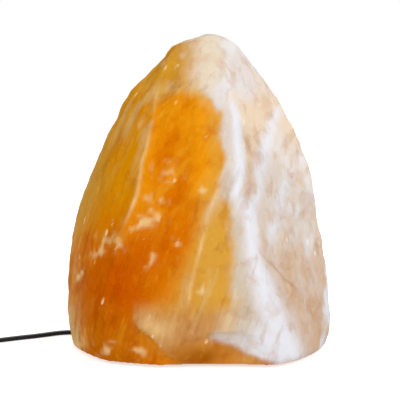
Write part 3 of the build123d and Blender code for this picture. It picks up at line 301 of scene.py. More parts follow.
# The places or normals of a mesh's vertices, one row each.
def meshArray(mesh, kind):
    found = np.empty(len(mesh.vertices) * 3, np.float32)
    if kind == "place":
        mesh.vertices.foreach_get("co", found)
    else:
        mesh.vertex_normals.foreach_get("vector", found)
    return found.reshape(-1, 3).astype(float)


# Points along the NURBS spline that has the given control points.
def splinePoints(points, resolution):
    data = bpy.data.curves.new("route", "CURVE")
    data.dimensions = "3D"
    data.resolution_u = resolution
    spline = data.splines.new("NURBS")
    spline.points.add(len(points) - 1)
    spline.points.foreach_set("co", np.column_stack((points, np.ones(len(points)))).ravel())
    spline.order_u = 3
    spline.use_endpoint_u = True
    holder = bpy.data.objects.new("route", data)
    wire = bpy.data.meshes.new_from_object(holder)
    found = meshArray(wire, "place")
    bpy.data.objects.remove(holder)
    bpy.data.curves.remove(data)
    bpy.data.meshes.remove(wire)
    return found


# The flat cord's section: a rectangle with quarter circles for corners, as (across, up) pairs.
def cordOutline(settings):
    corner = settings["corner"]
    reach = np.array((settings["width"] / 2 - corner, settings["thickness"] / 2 - corner))
    quarter = np.linspace(0.0, math.pi / 2, settings["cornerSteps"])
    sections = []
    for index, (sx, sy) in enumerate(((1, 1), (-1, 1), (-1, -1), (1, -1))):
        angle = quarter + index * math.pi / 2
        sections.append(np.array((sx, sy)) * reach + corner * np.column_stack((np.cos(angle), np.sin(angle))))
    return np.concatenate(sections)


# Smooth shading, and faces outward: the closed mesh's signed volume, the sum of a . (b x c) / 6, is positive.
def finished(mesh):
    mesh.polygons.foreach_set("use_smooth", np.ones(len(mesh.polygons), bool))
    mesh.update()
    mesh.calc_loop_triangles()
    corners = np.empty(len(mesh.loop_triangles) * 3, np.int32)
    mesh.loop_triangles.foreach_get("vertices", corners)
    a, b, c = meshArray(mesh, "place")[corners.reshape(-1, 3)].transpose(1, 0, 2)
    if np.sum(a * np.cross(b, c)) < 0:
        mesh.flip_normals()
    return mesh


# A mesh of rows of points with quads between neighbours, closed around each row, and either capped at the first
# and the last row or, as a ring, closed from one to the other.
def gridMesh(name, places, ring=False):
    rows, sides = places.shape[:2]
    row, side = np.meshgrid(np.arange(rows if ring else rows - 1) * sides, np.arange(sides), indexing="ij")
    nextRow, nextSide = (row + sides) % (rows * sides), (side + 1) % sides
    faces = np.stack((row + side, nextRow + side, nextRow + nextSide, row + nextSide), axis=-1)
    caps = [] if ring else [list(range(sides))[::-1], list(range((rows - 1) * sides, rows * sides))]
    mesh = bpy.data.meshes.new(name)
    mesh.from_pydata(places.reshape(-1, 3).tolist(), [], faces.reshape(-1, 4).tolist() + caps)
    return finished(mesh)


# A tube of the outline along a line. Its width lies level: across = run x up, made unit length, and takes
# firstAcross where the line is steep.
def sweptMesh(name, line, outline, firstAcross):
    run = np.gradient(line, axis=0)
    run /= np.linalg.norm(run, axis=1)[:, None]
    across = np.cross(run, (0.0, 0.0, 1.0))
    size = np.linalg.norm(across, axis=1)[:, None]
    steep = size < cordSettings["flattest"]
    across = np.where(steep, np.array(firstAcross), across / np.maximum(size, 1e-6))
    across -= run * np.sum(across * run, axis=1)[:, None]
    across /= np.linalg.norm(across, axis=1)[:, None]
    up = np.cross(across, run)
    rings = line[:, None, :] + across[:, None, :] * outline[None, :, :1] + up[:, None, :] * outline[None, :, 1:]
    return gridMesh(name, rings)


# Links a mesh as a piece that rides on a body, takes its finish from a slot and stands for CAD nodes.
def addPiece(name, mesh, material, body, slotName, *nodes):
    mesh.materials.append(material)
    piece = placed(name, mesh)
    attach(piece, body)
    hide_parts(*nodes)
    return piece


cordMaterial = dressedMaterial("cordSheath", (9, 9, 11), (16, 16, 17), 0.48, 0.05, 2600, 0.5, 0.0,
                               (38, 37, 36), 0.0, 0.22)
# The flat cord hangs in the holder with its width across the groove.
grooveAzimuth = 162.0
acrossTurn = math.radians(grooveAzimuth - 90.0)
holderAcross = (math.cos(acrossTurn), math.sin(acrossTurn), 0.0)

firstLine = splinePoints(routeToSwitch, resolution=10)
firstMesh = sweptMesh("lamp_cord", firstLine, cordOutline(cordSettings), holderAcross)
lampCord = addPiece("lamp_cord", firstMesh, cordMaterial, "cord_set", "cord", "cord_to_switch")

secondRoute = routeToCoil + coilPoints(coilSettings, routeToCoil[-1]) + routeToPlug
secondLine = splinePoints(secondRoute, resolution=8)
secondMesh = sweptMesh("mains_cord", secondLine, cordOutline(cordSettings), holderAcross)
mainsCord = addPiece("mains_cord", secondMesh, cordMaterial, "cord_set", "cord",
                     "cord_switch_to_coil", "cord_coil", "cord_coil_to_plug")


# The sum of the distances between neighbouring points.
def lineLength(line):
    return float(np.linalg.norm(np.diff(line, axis=0), axis=1).sum())


print("cord lengths", round(lineLength(firstLine), 4), round(lineLength(secondLine), 4))
print("cords laid")

# The crystal

# Metres, and noise as (cell size, height). The seed starts each of the lump's noises.
rockSettings = {
    "voxel": 0.0017, "boreRadius": 0.026, "base": 0.0025, "lean": math.radians(17.0), "seed": 11,
    "rolls": (0.034, 0.0011), "waves": (0.013, 0.0007), "grain": (0.0052, 0.00028), "streaks": (0.0075, 0.00042),
    "ridgeOne": 0.0006, "ridgeTwo": 0.0008, "lip": 0.0022, "hollow": 0.0012, "crack": 0.0009,
}


# 0 below low, 1 above high and t * t * (3 - 2 t) between them.
def smooth(value, low, high):
    share = np.clip((value - low) / (high - low), 0.0, 1.0)
    return share * share * (3.0 - 2.0 * share)


# The reverse: 1 below low and 0 above high.
def before(value, low, high):
    return 1.0 - smooth(value, low, high)


# 1 from second to third, and 0 below first and above fourth.
def within(value, first, second, third, fourth):
    return smooth(value, first, second) * before(value, third, fourth)


# exp(-(distance / width)^2): 1 on a line and about a third at its width.
def bell(distance, width):
    return np.exp(-((distance / width) ** 2))


# Random values from -1 to 1 at the corners of cubes of side cell, blended smoothly inside each cube.
def cubeNoise(places, cell, seed):
    scaled = np.asarray(places) / cell
    corner = np.floor(scaled).astype(np.int64)
    part = scaled - corner
    part = part * part * (3.0 - 2.0 * part)
    total = np.zeros(len(scaled))
    for step in np.ndindex(2, 2, 2):
        key = (corner + np.array(step)).astype(np.uint32)
        code = key[:, 0] * np.uint32(73856093) ^ key[:, 1] * np.uint32(19349663) ^ key[:, 2] * np.uint32(83492791)
        code = (code ^ np.uint32(seed * 2654435 + 101)) * np.uint32(2246822519)
        code = (code ^ (code >> np.uint32(13))) * np.uint32(3266489917)
        value = ((code >> np.uint32(8)) & np.uint32(65535)).astype(float) / 32767.5 - 1.0
        weight = np.prod(np.where(np.array(step) == 1, part, 1.0 - part), axis=1)
        total += value * weight
    return total


# The sum of cube noise at halving cell sizes, each layer fade times as strong as the last.
def layeredNoise(places, cell, seed, layers=3, fade=0.5):
    total = np.zeros(len(places))
    for layer in range(layers):
        total += cubeNoise(places, cell / 2**layer, seed + 7 * layer) * fade**layer
    return total


# The side of the square, in its own units, on which the lump's front is drawn.
frontSquare = 400.0


# Where points lie across and down that square, as the camera sees them from the front.
def frontPlace(places):
    tilt = math.radians(cameraSettings["elevation"])
    aim = np.array(cameraSettings["target"])
    eye = aim + cameraSettings["distance"] * np.array((0.0, -math.cos(tilt), math.sin(tilt)))
    way = places - eye
    depth = way @ np.array((0.0, math.cos(tilt), -math.sin(tilt)))
    rise = way @ np.array((0.0, math.sin(tilt), math.cos(tilt)))
    reach = cameraSettings["lens"] / cameraSettings["sensor"] * frontSquare
    return frontSquare / 2 + reach * way[:, 0] / depth, frontSquare / 2 - reach * rise / depth


# Lines on the lump's front as (down, across) places on that square, from the top.
ridgeOne = ((40, 175), (66, 168), (85, 161), (95, 157), (127, 151), (158, 143), (190, 138), (210, 131), (224, 125),
            (250, 112), (300, 95), (366, 85))
ridgeTwo = ((34, 238), (60, 229), (89, 226), (117, 235), (140, 236), (163, 239), (192, 236), (210, 246), (224, 249),
            (242, 251), (259, 254), (276, 260), (299, 266), (328, 277), (356, 289), (370, 294))
orangeEdge = ((90, 196), (99, 206), (112, 219), (123, 217), (130, 216), (139, 214), (158, 220), (169, 218),
              (190, 211), (213, 199), (242, 193), (270, 185), (293, 178), (305, 162), (322, 141), (329, 138),
              (338, 152), (346, 158), (353, 165), (358, 174), (366, 184))
lipLine = ((320, 132), (329, 138), (338, 152), (346, 158), (353, 165), (358, 174), (366, 184))
bandOne = ((96, 281), (112, 276), (129, 270), (150, 265), (182, 259), (205, 255), (240, 252))
bandTwo = ((150, 298), (168, 294), (187, 284), (210, 280), (228, 274), (262, 268))
sliverLine = ((240, 331), (290, 325), (330, 324), (356, 317))
seamLine = ((180, 219), (187, 217), (220, 207), (250, 200), (265, 196), (290, 190), (316, 186))
# How wide the white band is at each place down.
bandWidth = ((34, 5), (60, 7), (117, 5), (200, 7), (259, 9), (299, 14), (328, 17), (366, 17))
# Lines that run across, as (across, down) places.
archLine = ((150, 112), (160, 104), (168, 98), (175, 95), (190, 93), (200, 96), (208, 101), (222, 116))
hollowLine = ((150, 352), (190, 343), (212, 341), (232, 345), (245, 352), (259, 359), (274, 364), (300, 372))
crackLine = ((262, 252), (292, 283))
crackShadeLine = ((258, 246), (296, 290))
summitLine = ((120, 78), (160, 88), (200, 90), (228, 104), (260, 150), (300, 190))


# The second number of a line's places at a value of their first, in straight runs between places.
def along(line, value):
    table = np.array(line, float)
    return np.interp(value, table[:, 0], table[:, 1])


# A copy of a node's mesh with its doubles merged, rebuilt as even cubes' skin of the voxel's size.
def remeshed(node, name, voxel):
    source = frame["nodes"][node].data.copy()
    work = bmesh.new()
    work.from_mesh(source)
    bmesh.ops.remove_doubles(work, verts=work.verts, dist=0.00002)
    work.to_mesh(source)
    work.free()
    piece = placed(name, source)
    modifier = piece.modifiers.new("skin", "REMESH")
    modifier.mode = "VOXEL"
    modifier.voxel_size = voxel
    modifier.use_smooth_shade = True
    made = bpy.data.meshes.new_from_object(piece.evaluated_get(bpy.context.evaluated_depsgraph_get()))
    bpy.data.objects.remove(piece)
    bpy.data.meshes.remove(source)
    made.name = name
    made.materials.clear()
    return made


# Each vertex's value moved half way to the mean of its neighbours, a few times over.
def softened(values, edges, rounds):
    count = len(values)
    neighbours = np.bincount(edges.ravel(), minlength=count).astype(float)
    for _ in range(rounds):
        mean = np.stack([np.bincount(edges[:, 0], values[edges[:, 1], axis], count)
                         + np.bincount(edges[:, 1], values[edges[:, 0], axis], count)
                         for axis in range(values.shape[1])], axis=1)
        values = values + 0.5 * (mean / neighbours[:, None] - values)
    return values


# Turned about Y by the lean, so that the third number runs along the salt's streaks, and drawn out along them.
def streakAxes(places, lean, stretch):
    cosine, sine = math.cos(lean), math.sin(lean)
    turned = places @ np.array(((cosine, 0.0, -sine), (0.0, 1.0, 0.0), (sine, 0.0, cosine))).T
    return turned * np.array((1.0, 1.0, stretch))


# How far each point is free to move, from 0 on the bore, the groove and the sawn base to 1, and the inner
# surfaces as a share of 1. Each limit is a little wider or higher than the solid's own.
def rockZones(places, settings):
    x, y, z = places.T
    radius = np.hypot(x, y)
    turn = math.radians(grooveAzimuth)
    ahead = x * math.cos(turn) + y * math.sin(turn)
    beside = np.abs(y * math.cos(turn) - x * math.sin(turn))
    bore = np.maximum(smooth(radius, 0.030, 0.045), smooth(z, 0.176, 0.190))
    groove = 1.0 - before(beside, 0.0075, 0.0120) * before(z, 0.0105, 0.0165) * (ahead > 0.0)
    base = smooth(z, settings["base"] + 0.0004, settings["base"] + 0.0060)
    inner = np.maximum(1.0 - np.maximum(smooth(radius, 0.0265, 0.028), smooth(z, 0.171, 0.173)),
                       before(z, settings["base"] + 0.0002, settings["base"] + 0.0008))
    inGroove = (beside < 0.0064) & (z < 0.0098) & (ahead > 0.0)
    return bore * groove * base, np.maximum(inner, inGroove)


# Moves the lump's free surface along its normals by ridges + lip - hollow - crack + noise at four sizes, all
# times the free share, then sets the bore's wall and the base back on the solid's.
def shapeRock(mesh, settings):
    places = meshArray(mesh, "place")
    edges = np.empty(len(mesh.edges) * 2, np.int32)
    mesh.edges.foreach_get("vertices", edges)
    normals = softened(meshArray(mesh, "normal"), edges.reshape(-1, 2), 6)
    normals /= np.linalg.norm(normals, axis=1)[:, None]
    free, _ = rockZones(places, settings)
    across, down = frontPlace(places)
    front = smooth(-places[:, 1], 0.005, 0.030)

    def relief(name, seedStep, where=places):
        cell, height = settings[name]
        return layeredNoise(where, cell, settings["seed"] + seedStep, 2) * height

    noise = (relief("rolls", 0) + relief("waves", 1) + relief("grain", 2)
             + relief("streaks", 3, streakAxes(places, settings["lean"], 0.2)))
    ridges = (settings["ridgeOne"] * bell(across - along(ridgeOne, down), 4.0) * before(down, 205, 250)
              + settings["ridgeTwo"] * bell(across - along(ridgeTwo, down), 6.0))
    lip = smooth(across - along(lipLine, down), -1.2, 1.2) * smooth(down, 318, 332) * before(across, 175, 245)
    hollow = smooth(down - along(hollowLine, across), -3.0, 7.0) * within(across, 196, 226, 262, 290)
    crack = bell(down - along(crackLine, across), 1.6) * within(across, 258, 264, 288, 296)
    broken = settings["lip"] * lip - settings["hollow"] * hollow - settings["crack"] * crack
    places = places + normals * (((ridges + broken) * front + noise) * free)[:, None]
    places = np.clip(places, *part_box("salt_crystal"))
    x, y, z = places.T
    radius = np.hypot(x, y)
    wall = (np.abs(radius - settings["boreRadius"]) < 0.0012) & (z > 0.0045) & (z < 0.1640)
    stretch = np.where(wall, (settings["boreRadius"] + 0.00005) / np.maximum(radius, 1e-6), 1.0)
    places[:, :2] *= stretch[:, None]
    places[z < settings["base"] + 0.0004, 2] = settings["base"]
    mesh.vertices.foreach_set("co", places.astype(np.float32).ravel())
    mesh.update()
    return places, normals


saltTones = {
    "honey": (216, 158, 60), "straw": (217, 190, 132), "peach": (222, 194, 168), "rose": (208, 170, 134),
    "snow": (236, 236, 243), "cream": (238, 220, 194), "tan": (208, 146, 36), "golden": (214, 138, 5),
    "fawn": (196, 144, 48), "orange": (231, 146, 10), "amber": (214, 112, 0), "ember": (200, 88, 0),
    "blush": (200, 144, 84), "paintedGlow": (206, 134, 46), "paintedShadeBrown": (170, 96, 12), "pale": (240, 204, 140),
    "inside": (228, 166, 104), "sand": (236, 213, 186), "oat": (216, 199, 176), "mist": (229, 216, 204),
    "apricot": (234, 156, 34), "umber": (184, 100, 6),
}
# Pale spots in the orange salt: across, down, half width and half height on the front's square. Most are paler
# salt; the first three are painted glints, highlights where the crystal sparkles.
inclusionsAndGlints = ((167, 172, 7, 5), (158, 199, 4.5, 6), (203, 193, 4, 5), (146, 221, 8, 11), (138, 224, 3, 7),
              (107, 240, 6, 4), (119, 244, 4, 5), (97, 252, 2.5, 7), (81, 275, 4, 6), (152, 262, 3, 8),
              (178, 241, 2.5, 7), (200, 290, 3.5, 5), (78, 345, 7, 5), (137, 349, 9, 4), (104, 352, 8, 4),
              (200, 158, 3, 1.6))


# Where each point lies among the salt's zones. u and v are its places across and down the front's square,
# pushed about by noise that grows towards the sides and the back, and near is u with less of that push.
# One and two are the ridges' places across at v, and middle is the place where the orange ends.
def saltPlaces(places, normals, settings):
    at = types.SimpleNamespace(places=places, seed=settings["seed"])
    across, at.down = frontPlace(places)
    at.aside = before(-normals[:, 1], 0.05, 0.42)
    at.behind = smooth(places[:, 1], 0.0, 0.06)
    at.long = streakAxes(places, settings["lean"], 0.18)
    at.fine = layeredNoise(at.long, 0.0055, at.seed + 24, 3)
    at.mottle = layeredNoise(streakAxes(places, settings["lean"] * 2.4, 0.4), 0.009, at.seed + 27, 3)
    u = across + layeredNoise(places, 0.017, at.seed + 20, 2) * 2.4 + at.fine * 2.4
    u += cubeNoise(places, 0.045, at.seed + 21) * (24 * at.aside + 22 * at.behind) - 30 * at.behind
    v = at.down + layeredNoise(places, 0.017, at.seed + 22, 2) * 3.0
    v += cubeNoise(places, 0.045, at.seed + 23) * (22 * at.aside + 26 * at.behind)
    at.across, at.u, at.v = across, u, v
    at.one, at.two, at.middle = along(ridgeOne, v), along(ridgeTwo, v), along(orangeEdge, v)
    at.near = across + (u - across) * (0.2 + 0.8 * at.aside)
    at.blur = 1.0 + 3.0 * at.aside + 9.0 * at.behind
    at.rightOfOne = smooth((at.near - at.one) / at.blur, -2.0, 2.0)
    at.rightOfTwo = smooth((at.near - at.two) / at.blur, -2.0, 6.0)
    at.summit = before(v - along(summitLine, u), -12.0, 8.0)
    # the summit's right: pale salt with a painted highlight
    at.paleSummit = at.summit * smooth(u, 206, 240)
    return at


# A soft oval spot on the front's square.
def spot(at, x, y, width, height):
    return np.exp(-((at.u - x) / width) ** 2 - ((at.v - y) / height) ** 2)


# The pale ground right of the orange: straw streaks, then oat and mist towards the second ridge.
def layGround(lay, at):
    honeyEdge = np.minimum(at.two - 12.0, 234.0)
    lay("straw", 0.55 * smooth(at.fine, 0.15, 0.75) * smooth(at.u - at.middle, -4.0, 10.0))
    lay("oat", smooth(at.u - honeyEdge + 5.0 * at.mottle, -10.0, 8.0))
    lay("mist", smooth(at.u - at.two, -20.0, -4.0) * (0.5 + 0.5 * smooth(at.fine, -0.5, 0.5)))
    lay("mist", smooth(at.u - at.middle, -1.0, 8.0) * before(at.v + 1.2 * (at.u - 225), 152, 212))


# The broad orange face between the ridges, deeper in its middle and towards its foot.
def layOrangeFace(lay, at):
    reach = np.interp(at.v, (240, 300), (9.0, 24.0))
    belowArch = smooth(at.v - along(archLine, at.u), -5.0, 6.0)
    face = before((at.u - at.middle) / reach, -1.4, 1.0) * at.rightOfOne * belowArch
    lay("orange", face)
    lay("honey", face * smooth(at.u - at.middle, -16.0, -2.0) * 0.7)
    lay("amber", face * (spot(at, 172, 185, 22, 66) * 0.9 + smooth(at.v, 185, 250) * 0.8))
    lay("apricot", face * smooth(at.mottle, 0.1, 0.8) * (0.55 - 0.35 * smooth(at.v, 170, 250)))
    lay("amber", face * smooth(-at.mottle, 0.2, 0.9) * 0.6)


# The golden face left of the first ridge, frosted above and deep orange below, where the orange spreads past the
# ridge. That deep orange is partly the salt's own and partly painted light, as if the bulb shone through it.
def layLeftFace(lay, at):
    u, v, fine = at.u, at.v, at.fine
    leftOfOne = 1.0 - at.rightOfOne
    face = leftOfOne * smooth(v, 70, 112)
    lay("golden", face)
    lay("amber", face * smooth(v, 180, 250) * 0.8)
    lay("umber", np.maximum(face, before(u, 120, 165)) * smooth(v, 215, 290) * 0.75)
    lay("honey", face * smooth(at.mottle, 0.25, 1.0) * 0.5)
    lay("straw", leftOfOne * within(v, 62, 84, 130, 215) * 0.42
        * smooth(layeredNoise(at.long, 0.011, at.seed + 31, 3), 0.0, 0.7))
    lay("pale", face * 0.45 * spot(at, 139 - 0.35 * (v - 129), 129, 5, 14) * smooth(fine, -0.5, 0.4))
    lay("fawn", face * smooth(at.one - u, 22.0, 46.0) * before(v, 200, 300) * 0.7)
    lay("straw", 0.6 * spot(at, 78, 334, 9, 22) * smooth(fine, -0.6, 0.5))
    # partly the salt's deep orange, partly painted light from the bulb shining through
    lay("ember", spot(at, 116, 284, 40, 42) * 0.95 + spot(at, 150, 246, 20, 26) * 0.35)
    lay("honey", spot(at, 113, 238, 14, 6) * smooth(fine, -0.6, 0.4) * 0.6)


# The summit, tan on the left and cream on the right, down to the arch. The white on its right is partly pale salt and
# partly a painted highlight where the light falls from the right.
def laySummit(lay, at):
    lay("cream", at.summit * smooth(at.u, 168, 205))
    lay("snow", at.paleSummit * (0.9 - 0.5 * smooth(at.u, 248, 266)))
    lay("tan", at.summit * before(at.u, 168, 205) * 0.9)
    flecked = at.summit * smooth(layeredNoise(at.places, 0.011, at.seed + 25, 2), 0.1, 0.7)
    lay("sand", flecked * 0.7 * before(at.u, 214, 232))
    lay("tan", flecked * 0.35 * before(at.u, 196, 214))
    lay("pale", 0.35 * spot(at, 186, 90, 30, 7) * smooth(at.fine, -0.4, 0.4))


# The right face, peach with slanting white bands, rosier towards its foot.
def layRightFace(lay, at):
    u, v, face = at.u, at.v, at.rightOfTwo
    lay("peach", face * (1.0 - 0.6 * at.summit))
    lay("rose", face * smooth(v, 235, 300) * 0.85)
    lay("sand", face * within(v, 90, 110, 140, 180))
    lay("mist", face * (0.9 - 0.75 * smooth(v, 205, 270)) * smooth(v, 110, 160) * smooth(u, 252, 272))
    bands = bell(u - along(bandOne, v), 6.5) * smooth(v, 96, 122)
    bands = np.maximum(bands, 0.9 * bell(u - along(bandTwo, v), 6.0) * smooth(v, 150, 178))
    bands *= before(v, 226, 262) * (1.0 - at.aside) * smooth(at.fine, -1.6, 0.1)
    blotches = smooth(layeredNoise(at.long, 0.012, at.seed + 26, 3), -0.1, 0.7)
    blotches *= np.maximum(smooth(u, 268, 284), at.aside) * smooth(v, 90, 165)
    lay("snow", face * np.maximum(bands, 0.65 * blotches) * (0.95 - 0.7 * smooth(v, 235, 300)))
    lay("rose", face * 0.55 * spot(at, 250, 160, 8, 34) * smooth(at.mottle, -0.5, 0.5))
    lay("rose", face * smooth(-at.mottle, 0.1, 0.8) * 0.4 * smooth(u, 268, 284))
    lay("snow", smooth((u - along(sliverLine, v)) / at.blur, -2.0, 2.0) * smooth(v, 250, 275) * (1.0 - 0.6 * at.aside))
    # painted shade: a thin dark brown line along the crack
    lay("paintedShadeBrown", 0.35 * face * bell(v - along(crackShadeLine, u), 2.0) * within(u, 256, 262, 290, 300))


# The white band along the second ridge, broad at its foot, and thin pale lines on the first ridge and the seam. The
# line on the first ridge is a painted highlight along its crest.
def layLines(lay, at):
    u, v, places = at.u, at.v, at.places
    band = np.exp(-np.abs((at.near - at.two - 1.5) / along(bandWidth, v)) ** 2.6)
    white = band * smooth(v, 74, 100) * (1.0 - 0.7 * at.behind)
    white = np.maximum(white, spot(at, 226, 94, 13, 12) * 0.9)
    white = np.maximum(white, smooth(v, 300, 345) * within(u, 226, 262, 290, 301))
    lay("snow", white)
    # the share of painted light given off in the material: half of the white band, and the summit's pale right side
    # with its painted highlight
    at.lit = np.clip(np.maximum(0.5 * white, at.paleSummit), 0.0, 1.0)
    lay("sand", spot(at, 232, 98, 9, 9) * 0.6)
    # painted highlight along the first ridge's crest
    lay("pale", bell(at.near - at.one, 1.9) * within(v, 84, 100, 205, 235) * (1.0 - at.behind)
        * (0.5 + 0.5 * layeredNoise(places, 0.012, at.seed + 29, 2)))
    lay("pale", bell(at.near - along(seamLine, v), 1.7) * within(v, 180, 195, 300, 322)
        * (1.0 - at.behind) * (0.45 + 0.5 * layeredNoise(places, 0.012, at.seed + 30, 2)))


# The broken foot: the blushing ledge and the hollow under it, with painted glowing light on the ledge's lower part and
# in the hollow, and painted shade at their foot.
def layFoot(lay, at):
    u, v = at.u, at.v
    ledge = smooth(at.near - along(lipLine, at.down), -1.0, 3.0) * smooth(v, 296, 326) * before(u, 206, 228)
    lay("blush", ledge)
    lay("oat", smooth(v, 296, 318) * within(u, 206, 226, 238, 256) * 0.5)
    lay("pale", ledge * (0.6 * spot(at, 156, 327, 11, 9) + 0.25 * smooth(at.fine, 0.0, 0.6)) * before(v, 332, 348))
    lay("snow", 0.6 * smooth(v, 326, 338) * within(u, 204, 218, 240, 250))
    lay("paintedGlow", ledge * smooth(v, 332, 352) * smooth(u, 160, 184) * 0.9)
    under = smooth(v - along(hollowLine, u), -3.0, 4.0) * within(u, 196, 216, 268, 292)
    lay("paintedGlow", under)
    lay("blush", under * smooth(u, 222, 246) * 0.6)
    # painted shade: darker brown at the foot of the ledge and the hollow
    lay("paintedShadeBrown", (under + ledge * smooth(v, 336, 350)) * spot(at, 196, 357, 22, 9) * 0.9)


# Slanting pale spots with ragged edges, each kept near its own place: paler salt, and painted glints.
def layInclusionsAndGlints(lay, at):
    ragged = layeredNoise(at.places, 0.005, at.seed + 28, 2) * 0.6
    for x, y, halfWidth, halfHeight in inclusionsAndGlints:
        lay("pale", smooth(spot(at, x - 0.3 * (at.v - y), y, halfWidth, halfHeight) + ragged, 0.1, 1.25) * 0.8
            * smooth(spot(at, x, y, 2.2 * halfWidth, 2.2 * halfHeight), 0.1, 0.3))


# Stores the salt's colour, laid on zone by zone as tone + (zone - tone) * share, and three shares: how warm
# it is, how much of it lies in the white that gets painted light in the material, and how much is a cut inner
# surface. The warmth and that second share set how much painted light the salt gives off.
def paintRock(mesh, places, normals, settings):
    at = saltPlaces(places, normals, settings)
    tone = np.tile(np.array(linear(saltTones["honey"])[:3]), (len(places), 1))

    def lay(name, share):
        nonlocal tone
        tone = tone + (np.array(linear(saltTones[name])[:3]) - tone) * np.clip(share, 0.0, 1.0)[:, None]

    for zone in (layGround, layOrangeFace, layLeftFace, laySummit, layRightFace, layLines, layFoot, layInclusionsAndGlints):
        zone(lay, at)
    # a painted highlight along the left outline: pale straw where the left side turns away, stronger at the foot
    paintedRimLight = smooth(-normals[:, 0], 0.80, 0.96) * before(at.across, 150, 190)
    paintedRimLight *= 1.0 - 0.5 * smooth(at.v, 190, 230) + 0.5 * smooth(at.v, 290, 320)
    lay("straw", paintedRimLight * (0.25 + 0.35 * smooth(at.fine, -0.5, 0.6)))
    _, inner = rockZones(places, settings)
    lay("inside", inner)
    warmth = np.clip((tone[:, 0] - tone[:, 2]) / np.maximum(tone[:, 0], 1e-3) * 1.4 - 0.4, 0.0, 1.0)
    for name, values in (("saltTone", tone), ("saltShares", np.stack((warmth, at.lit, inner), axis=1))):
        store = mesh.attributes.new(name, "FLOAT_COLOR", "POINT")
        colors = np.ones((len(places), 4), np.float32)
        colors[:, :3] = values
        store.data.foreach_set("color", colors.ravel())


# Rock salt: its painted colour broken up by slanting streaks, mottling, flecks and a sugary grain, and a faint
# emission that is painted light.
def saltMaterial(settings):
    material, graph, shader = newMaterial("rockSalt")
    place = graph.objectPlace()
    lean = (0.0, -settings["lean"], 0.0)
    slanted = graph.mapped(place, (1.0, 1.0, 0.16), lean)
    fine = graph.noise(slanted, 240.0, 4.0, 0.6, 0.2)
    broad = graph.noise(slanted, 85.0, 4.0, 0.6, 0.4)
    patches = graph.noise(place, 60.0, 5.0, 0.6, 0.3)
    sugar = graph.noise(place, 700.0, 3.0, 0.65)
    tone = graph.attribute("saltTone")
    warmth, lit, inner = graph.add("SeparateColor", {"Color": graph.attribute("saltShares")}).outputs
    paleTone = graph.mix(warmth, (252, 240, 224), (246, 180, 40))
    light = graph.mix(0.5, tone, paleTone)
    color = graph.mix(graph.times(graph.span(fine, 0.55, 0.74), 0.45), tone, light)
    color = graph.mix(graph.times(graph.span(broad, 0.56, 0.72), 0.40), color, light)
    color = graph.mix(graph.times(graph.span(broad, 0.46, 0.30), 0.55), color,
                      graph.mix(1.0, color, (226, 206, 190), "MULTIPLY"))
    color = graph.mix(graph.times(graph.span(patches, 0.50, 0.34), 0.50), color,
                      graph.mix(1.0, color, (238, 214, 196), "MULTIPLY"))
    color = graph.mix(graph.times(graph.span(patches, 0.56, 0.70), 0.30), color, light)
    flecks = graph.cells(graph.mapped(place, (1.0, 1.0, 0.45), lean), 105.0)
    fleckShare = graph.times(graph.span(flecks, 0.20, 0.10), graph.span(patches, 0.52, 0.60))
    fleckTone = graph.mix(warmth, (252, 248, 240), (250, 218, 156))
    color = graph.mix(graph.times(fleckShare, 0.7), color, fleckTone)
    color = graph.mix(graph.times(graph.span(sugar, 0.52, 0.78), 0.18), color, light)
    graph.feed("Base Color", color)
    # Painted light: the warm salt and the pale white that catches the light give off a tenth of their colour, as if
    # the bulb shone through the salt, and keep the shaded sides bright.
    paintedGlow = graph.mix(graph.math("MAXIMUM", warmth, lit), (0, 0, 0), color)
    graph.feed("Emission Color", paintedGlow)
    shader.inputs["Emission Strength"].default_value = 0.10
    graph.feed("Roughness", graph.span(patches, 0.35, 0.65, (0.34, 0.60)))
    cleave = graph.cells(graph.mapped(place, (1.0, 1.0, 0.5), lean), 260.0)
    height = graph.plus(graph.times(sugar, 0.35), graph.times(cleave, 0.30))
    height = graph.plus(height, graph.plus(fine, graph.times(patches, 1.6)))
    sawn = graph.noise(graph.mapped(place, (30.0, 900.0, 400.0), (0.0, 0.0, 0.3)), 1.0, 2.0)
    height = graph.plus(height, graph.times(graph.times(sawn, inner), 1.5))
    graph.feed("Normal", graph.bump(height, 0.6, 0.0014))
    shader.inputs["Specular IOR Level"].default_value = 0.0
    shader.inputs["Subsurface Weight"].default_value = 0.10
    shader.inputs["Subsurface Radius"].default_value = (1.0, 0.45, 0.16)
    shader.inputs["Subsurface Scale"].default_value = 0.01
    return material


rockMesh = remeshed("salt_crystal", "rock_salt_lump", rockSettings["voxel"])
rockPlaces, rockNormals = shapeRock(rockMesh, rockSettings)
paintRock(rockMesh, rockPlaces, rockNormals, rockSettings)
addPiece("rock_salt_lump", finished(rockMesh), saltMaterial(rockSettings), "crystal", "salt", "salt_crystal")
print("crystal shaped:", len(rockMesh.polygons), "faces")

# Finishes of the other parts


# Gives a finish to CAD nodes that keep their own shape.
def dressNodes(material, *names):
    for name in names:
        for slot in frame["nodes"][name].material_slots:
            slot.material = material


